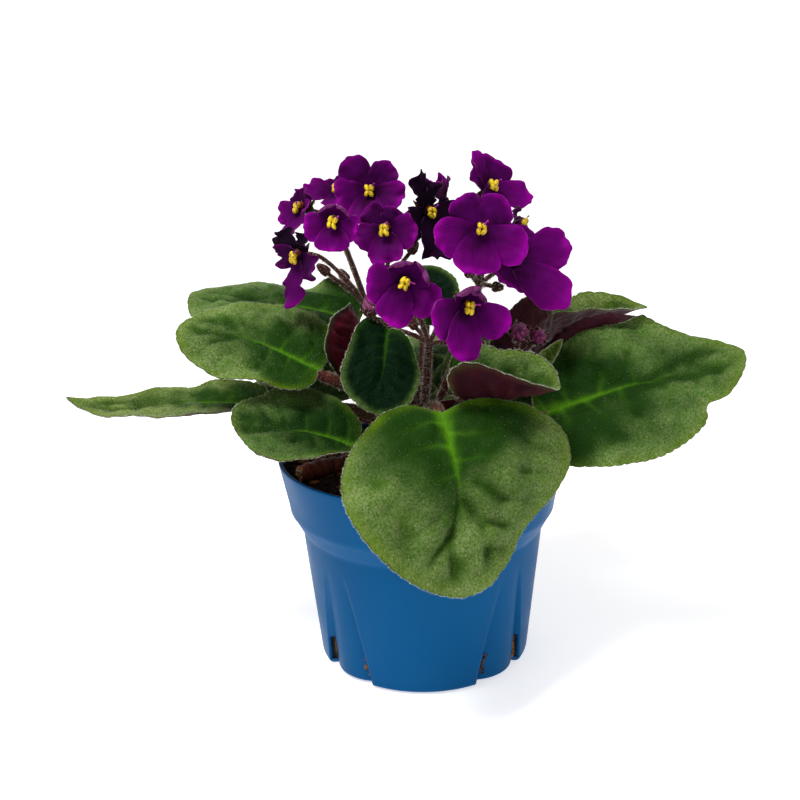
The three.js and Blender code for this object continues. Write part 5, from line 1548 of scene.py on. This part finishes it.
def slot_places(rng, number):
    """Where the crumbs lie that show in the eight drain slots, number to a slot."""
    low, high = SLOT_HEIGHTS
    height = rng.uniform(low + 1.2, high - 1, 8 * number)
    side = np.tile([-1, 1], 4 * number) * rng.uniform(0.72, 0.95, 8 * number)
    half, sink = flute(height, side)
    turn = np.radians(45 + 90 * rng.integers(0, 4, 8 * number) + side * half)
    return around(turn, pot_radius(height) - sink - rng.uniform(0, 1.5, 8 * number), height)


def add_bed(build):
    """The bed itself: rings that follow the pot's inner wall, then rings that close
    in on the middle of its top, which is raised in small lumps of noise."""
    levels = np.array([POT_FLOOR + SEAT_GAP, 10, 20, 35, FLUTE_TOP, COLLAR_FOOT, COLLAR_TOP,
                       75, SOIL_TOP])
    rings = wall_rings(levels, SOIL_INSET, BED_COLUMNS)
    shares = np.linspace(1, 0.02, 56)[1:, None]
    edge = rings[-1]
    x, y = shares * edge[:, 0], shares * edge[:, 1]
    flat = np.stack([x, y, 0 * x], -1)
    lumps = 0.7 * ripple(flat, 7, 11) + 0.45 * ripple(flat, 3, 12)
    z = soil_height(x, y) + lumps * ramp(1 - shares, 0, 0.05)
    rings[-1, :, 2] = soil_height(*edge[:, :2].T)
    grid = np.concatenate([rings, np.stack([x, y, z], -1)])
    build.add(*closed_rings(grid, [[0, 0, levels[0]], [0, 0, SOIL_TOP]]))


def add_fibre(build, rng):
    """A thin pale tube that wriggles over the bed, kept inside the pot."""
    start = around(rng.uniform(0, 2 * np.pi), rng.uniform(12, 52), 0)
    way = rng.normal(size=3) * [1, 1, 0]
    path = start + unit(way) * np.linspace(-3, 3, 7)[:, None]
    path[:, :2] += 0.5 * np.sin(np.linspace(0, 4, 7))[:, None]
    path = path * np.minimum(1, 55 / np.maximum(np.hypot(path[:, 0], path[:, 1]), 1))[:, None]
    path[:, 2] = soil_height(path[:, 0], path[:, 1]) + 0.9
    add_tube(build, path, 0.22, 6, 3)


def make_soil():
    """The bed of potting mix, strewn with crumbs, bark chips and pale fibres."""
    rng = np.random.default_rng([SEED, 600])
    build = Build()
    add_bed(build)
    for number, size, flatness, slot in CRUMBS:
        sizes = rng.uniform(*size, number)
        reach = np.sqrt(rng.uniform(0.03, 1, number)) * (56 - sizes / 2)
        at = around(rng.uniform(0, 2 * np.pi, number), reach, 0)
        at[:, 2] = soil_height(at[:, 0], at[:, 1]) + 0.15 * sizes
        add_crumbs(build, at, sizes, flatness, slot, rng)
    at = slot_places(rng, SLOT_CRUMBS)
    for slot in (1, 2):
        part = at[slot - 1::2]
        add_crumbs(build, part, rng.uniform(1.2, 2.6, len(part)), (0.5, 0.9), slot, rng)
    for _ in range(FIBRES):
        add_fibre(build, rng)
    materials = [peat("damp_peat", "#140d09", "#33231a", 1.6),
                 peat("peat_crumb", "#33200f", "#6e4c2c", 1.0),
                 peat("pine_bark_chip", "#54321a", "#a06c38", 2.2),
                 peat("coir_fibre", "#7a5a34", "#a9854f", 1.2)]
    build.piece("potting_soil_bed", materials, ("soil",))


def make_old_stem():
    """The cut stem of an old leaf: a ridged shrunken tube with a frayed pale end."""
    rng = np.random.default_rng([SEED, 700])
    build = Build()
    path = spline(STUB_PATH, 10)
    add_tube(build, path, np.linspace(*STUB_RADII, len(path)), 40, 0, rough=0.13)
    end = path[-1]
    ahead = unit(path[-1] - path[-3])
    side = unit(np.cross(ahead, [0, 0, 1.0]))
    other = np.cross(side, ahead)
    for _ in range(46):
        angle, reach = rng.uniform(0, 2 * np.pi), 2.7 * np.sqrt(rng.uniform())
        foot = end + turned(side, other, angle) * reach
        tip = foot + ahead * rng.uniform(0.6, 2.0) + rng.normal(0, 0.35, 3)
        add_tube(build, np.linspace(foot - ahead, tip, 4), np.linspace(0.5, 0.18, 4), 6, 1)
    materials = [stem_skin("withered_stem_skin", "#623024", "#96583f", "#3a1c14"),
                 peat("frayed_stem_fibre", "#ac9050", "#e0cc92", 0.9)]
    build.piece("old_cut_stem", materials, ("old_stem_stub",))


# --------------------------------------------------------------------- stage
def make_floor(settings):
    """A sheet that lies flat, bends up on a quarter of a circle and stands."""
    x, s = np.meshgrid(np.linspace(-SWEEP_HALF, SWEEP_HALF, 13), np.linspace(0, 1, 40),
                       indexing="ij")
    past = s * SWEEP_LENGTH - SWEEP_FLAT
    bend = np.clip(past / SWEEP_RADIUS, 0, np.pi / 2)
    y = SWEEP_FRONT + SWEEP_FLAT + np.minimum(past, 0) + SWEEP_RADIUS * np.sin(bend)
    z = (SWEEP_RADIUS * (1 - np.cos(bend))
         + np.clip(past - SWEEP_RADIUS * np.pi / 2, 0, None))
    mesh = bpy.data.meshes.new("pale_sweep")
    points = np.stack([x, y, z], -1).reshape(-1, 3)
    mesh.from_pydata(points.tolist(), [], grid_faces(*x.shape).tolist())
    mesh.polygons.foreach_set("use_smooth", np.ones(len(mesh.polygons), bool))
    mesh.materials.append(lit_acrylic(settings))
    floor = bpy.data.objects.new("pale_sweep", mesh)
    bpy.context.scene.collection.objects.link(floor)


def make_lights(settings):
    """Softboxes that face the plant's middle, in a pale room."""
    for name, place, size, power in SOFTBOXES:
        lamp = bpy.data.lights.new(name, "AREA")
        lamp.size = size
        lamp.energy = power * settings.light
        made = bpy.data.objects.new(name, lamp)
        made.location = place
        aim(made, place, PLANT_MIDDLE)
        bpy.context.scene.collection.objects.link(made)
    world = bpy.data.worlds.new("pale_room")
    world.use_nodes = True
    room = world.node_tree.nodes["Background"]
    room.inputs["Color"].default_value = linear("#ffffff")
    room.inputs["Strength"].default_value = settings.room
    bpy.context.scene.world = world
    bpy.context.scene.view_settings.view_transform = "Standard"


def make_camera(settings):
    """The camera at the photograph's angle."""
    lens = bpy.data.cameras.new("photo_camera")
    lens.sensor_width = SENSOR_WIDTH
    lens.lens = settings.focal_pixels / PHOTO_PIXELS * SENSOR_WIDTH
    lens.clip_start = 0.02
    camera = bpy.data.objects.new("photo_camera", lens)
    camera.location = settings.camera_place
    camera.rotation_mode = "XYZ"
    pitch, yaw, roll = settings.camera_turn
    ahead = np.array([np.sin(yaw) * np.cos(pitch), np.cos(yaw) * np.cos(pitch), -np.sin(pitch)])
    aim(camera, np.array(settings.camera_place), np.array(settings.camera_place) + ahead, roll)
    bpy.context.scene.collection.objects.link(camera)
    bpy.context.scene.camera = camera


def aim(thing, place, target, roll=0.0):
    """Turns a camera or light so that its -Z looks at the target and its +Y is as
    upright as can be, then rolls it about its line of sight."""
    direction = Vector(np.asarray(target, float) - np.asarray(place, float))
    turn = direction.to_track_quat("-Z", "Y").to_matrix()
    thing.rotation_euler = (turn @ Matrix.Rotation(roll, 3, "Z")).to_euler()


# ------------------------------------------------------------------ add-on
def length_setting(label, text, default):
    """A size in millimetres that a user may change."""
    return bpy.props.FloatProperty(name=label, description=text, default=default, min=0.0)


def colour_setting(label, text, default):
    """A colour that a user may change, as an sRGB hex code."""
    return bpy.props.StringProperty(name=label, description=text, default=default)


class PotSettings(bpy.types.PropertyGroup):
    """Sizes and colour of the nursery pot."""

    wall: length_setting("Wall", "Thickness of the wall, in millimetres", POT_WALL)
    colour: colour_setting("Colour", "Colour of the plastic", "#004c7e")


class LeafSettings(bpy.types.PropertyGroup):
    """Relief, hairs and colours of the leaves."""

    quilt: bpy.props.FloatProperty(
        name="Quilting", description="Height of the relief between the side veins",
        default=1.0, min=0.0, subtype="FACTOR")
    hair_length: length_setting("Hair length", "Longest common hair, in millimetres", 0.85)
    hairs: bpy.props.FloatProperty(
        name="Hairs", description="Hairs to a square millimetre of upper face", default=3.2,
        min=0.0)
    fringe: bpy.props.FloatProperty(
        name="Fringe", description="Hairs to a millimetre of margin", default=10.0, min=0.0)
    olive: colour_setting("Olive", "Colour of an old blade", "#5e6e12")
    fresh: colour_setting("Fresh", "Colour of a blade in its prime", "#4c8712")
    frost: colour_setting("Frost", "Colour of the hairs on an old blade", "#a2ae76")
    # Green near the base is partly painted shade.
    green: colour_setting("Green", "Colour of a blade near its base", "#163c02")
    # Dark is also painted shade on blades that lie in the shade of others.
    dark: colour_setting("Dark", "Colour of a young blade", "#021806")
    margin: colour_setting("Margin", "Colour along the margin", "#66840a")
    rib: colour_setting("Midrib", "Colour of the midrib", "#4e8210")
    under: colour_setting("Underside", "Colour of the underside", "#220812")


class BloomSettings(bpy.types.PropertyGroup):
    """Colours of the petals and anthers."""

    petal: colour_setting("Petal", "Colour of a fresh petal", "#600060")
    rim: colour_setting("Petal rim", "Colour of a fresh petal's rim", "#8e008a")
    # The throat colour is partly painted shade.
    throat: colour_setting("Throat", "Colour in the throat", "#180018")
    # The faded colour also paints shade on a bloom that lies in shade.
    faded: colour_setting("Faded", "Colour of an old petal", "#120616")
    petal_back: colour_setting("Petal back", "Colour of a petal's outer face", "#601c50")
    anther: colour_setting("Anther", "Colour of the pollen sacs", "#e6c800")
    anther_dark: colour_setting("Anther crease", "Colour in their creases", "#8f6a00")


class StageSettings(bpy.types.PropertyGroup):
    """Camera, light and floor."""

    focal_pixels: bpy.props.FloatProperty(
        name="Focal length", description="Focal length in pixels of the photograph",
        default=1000.0, min=1.0)
    camera_place: bpy.props.FloatVectorProperty(
        name="Camera", description="Where the camera stands", default=(0.0, -0.398, 0.2298),
        subtype="TRANSLATION", unit="LENGTH")
    camera_turn: bpy.props.FloatVectorProperty(
        name="Camera turn", description="Pitch down, yaw and roll of the camera",
        default=(0.2901, -0.0207, -0.0254), subtype="EULER")
    light: bpy.props.FloatProperty(
        name="Light", description="Share of the softboxes' power", default=1.0, min=0.0)
    room: bpy.props.FloatProperty(
        name="Room", description="Brightness of the pale room", default=0.36, min=0.0)
    glow: bpy.props.FloatProperty(
        name="Glow", description="Light that comes through the floor sheet", default=0.55,
        min=0.0)
    paper: colour_setting("Paper", "Colour of the floor", "#f4f4f4")


class VIOLET_OT_stage(bpy.types.Operator):
    """Adds the pale floor, the lights and the camera"""

    bl_idname = "violet.stage"
    bl_label = "Stage"

    def execute(self, context):
        settings = context.scene.violet_stage
        make_floor(settings)
        make_lights(settings)
        make_camera(settings)
        return {"FINISHED"}


class VIOLET_OT_pot(bpy.types.Operator):
    """Adds the moulded nursery pot"""

    bl_idname = "violet.pot"
    bl_label = "Pot"

    def execute(self, context):
        make_pot(context.scene.violet_pot)
        return {"FINISHED"}


class VIOLET_OT_soil(bpy.types.Operator):
    """Adds the bed of potting mix and the old cut stem on it"""

    bl_idname = "violet.soil"
    bl_label = "Soil"

    def execute(self, context):
        make_soil()
        make_old_stem()
        return {"FINISHED"}


class VIOLET_OT_crown(bpy.types.Operator):
    """Adds the short stem with all its petioles"""

    bl_idname = "violet.crown"
    bl_label = "Crown"

    def execute(self, context):
        make_crown(context.scene.violet_leaf)
        return {"FINISHED"}


class VIOLET_OT_leaves(bpy.types.Operator):
    """Adds the eighteen hairy leaf blades"""

    bl_idname = "violet.leaves"
    bl_label = "Leaves"

    def execute(self, context):
        make_leaves(context.scene.violet_leaf)
        return {"FINISHED"}


class VIOLET_OT_stalks(bpy.types.Operator):
    """Adds the flower stalks with their calyxes"""

    bl_idname = "violet.stalks"
    bl_label = "Stalks"

    def execute(self, context):
        make_stalks()
        return {"FINISHED"}


class VIOLET_OT_blooms(bpy.types.Operator):
    """Adds the blooms, their pollen sacs and the closed buds"""

    bl_idname = "violet.blooms"
    bl_label = "Blooms"

    def execute(self, context):
        make_blooms(context.scene.violet_bloom)
        make_anthers(context.scene.violet_bloom)
        make_buds()
        return {"FINISHED"}


class VIOLET_PT_panel(bpy.types.Panel):
    """Lists the settings and the pieces of the plant"""

    bl_label = "Potted african violet"
    bl_idname = "VIOLET_PT_panel"
    bl_space_type = "VIEW_3D"
    bl_region_type = "UI"
    bl_category = "Violet"

    def draw(self, context):
        layout = self.layout
        for title, group in SETTINGS.items():
            box = layout.box()
            box.label(text=title.capitalize())
            settings = getattr(context.scene, f"violet_{title}")
            for name in group.__annotations__:
                box.prop(settings, name)
        for operator in OPERATORS:
            layout.operator(operator.bl_idname)


SETTINGS = {"pot": PotSettings, "leaf": LeafSettings, "bloom": BloomSettings,
            "stage": StageSettings}
OPERATORS = (VIOLET_OT_stage, VIOLET_OT_pot, VIOLET_OT_soil, VIOLET_OT_crown,
             VIOLET_OT_leaves, VIOLET_OT_stalks, VIOLET_OT_blooms)


def register():
    """Registers the classes and hangs the settings on the scene."""
    for made in (*SETTINGS.values(), *OPERATORS, VIOLET_PT_panel):
        bpy.utils.register_class(made)
    for title, group in SETTINGS.items():
        setattr(bpy.types.Scene, f"violet_{title}", bpy.props.PointerProperty(type=group))


def unregister():
    """Takes the settings off the scene and unregisters the classes."""
    for title in SETTINGS:
        delattr(bpy.types.Scene, f"violet_{title}")
    for made in (VIOLET_PT_panel, *OPERATORS[::-1], *SETTINGS.values()):
        bpy.utils.unregister_class(made)


def main():
    """Registers the add-on's classes, then builds the stage and every piece."""
    register()
    for operator in OPERATORS:
        group, name = operator.bl_idname.split(".")
        getattr(getattr(bpy.ops, group), name)()


if __name__ == "__main__":
    main()
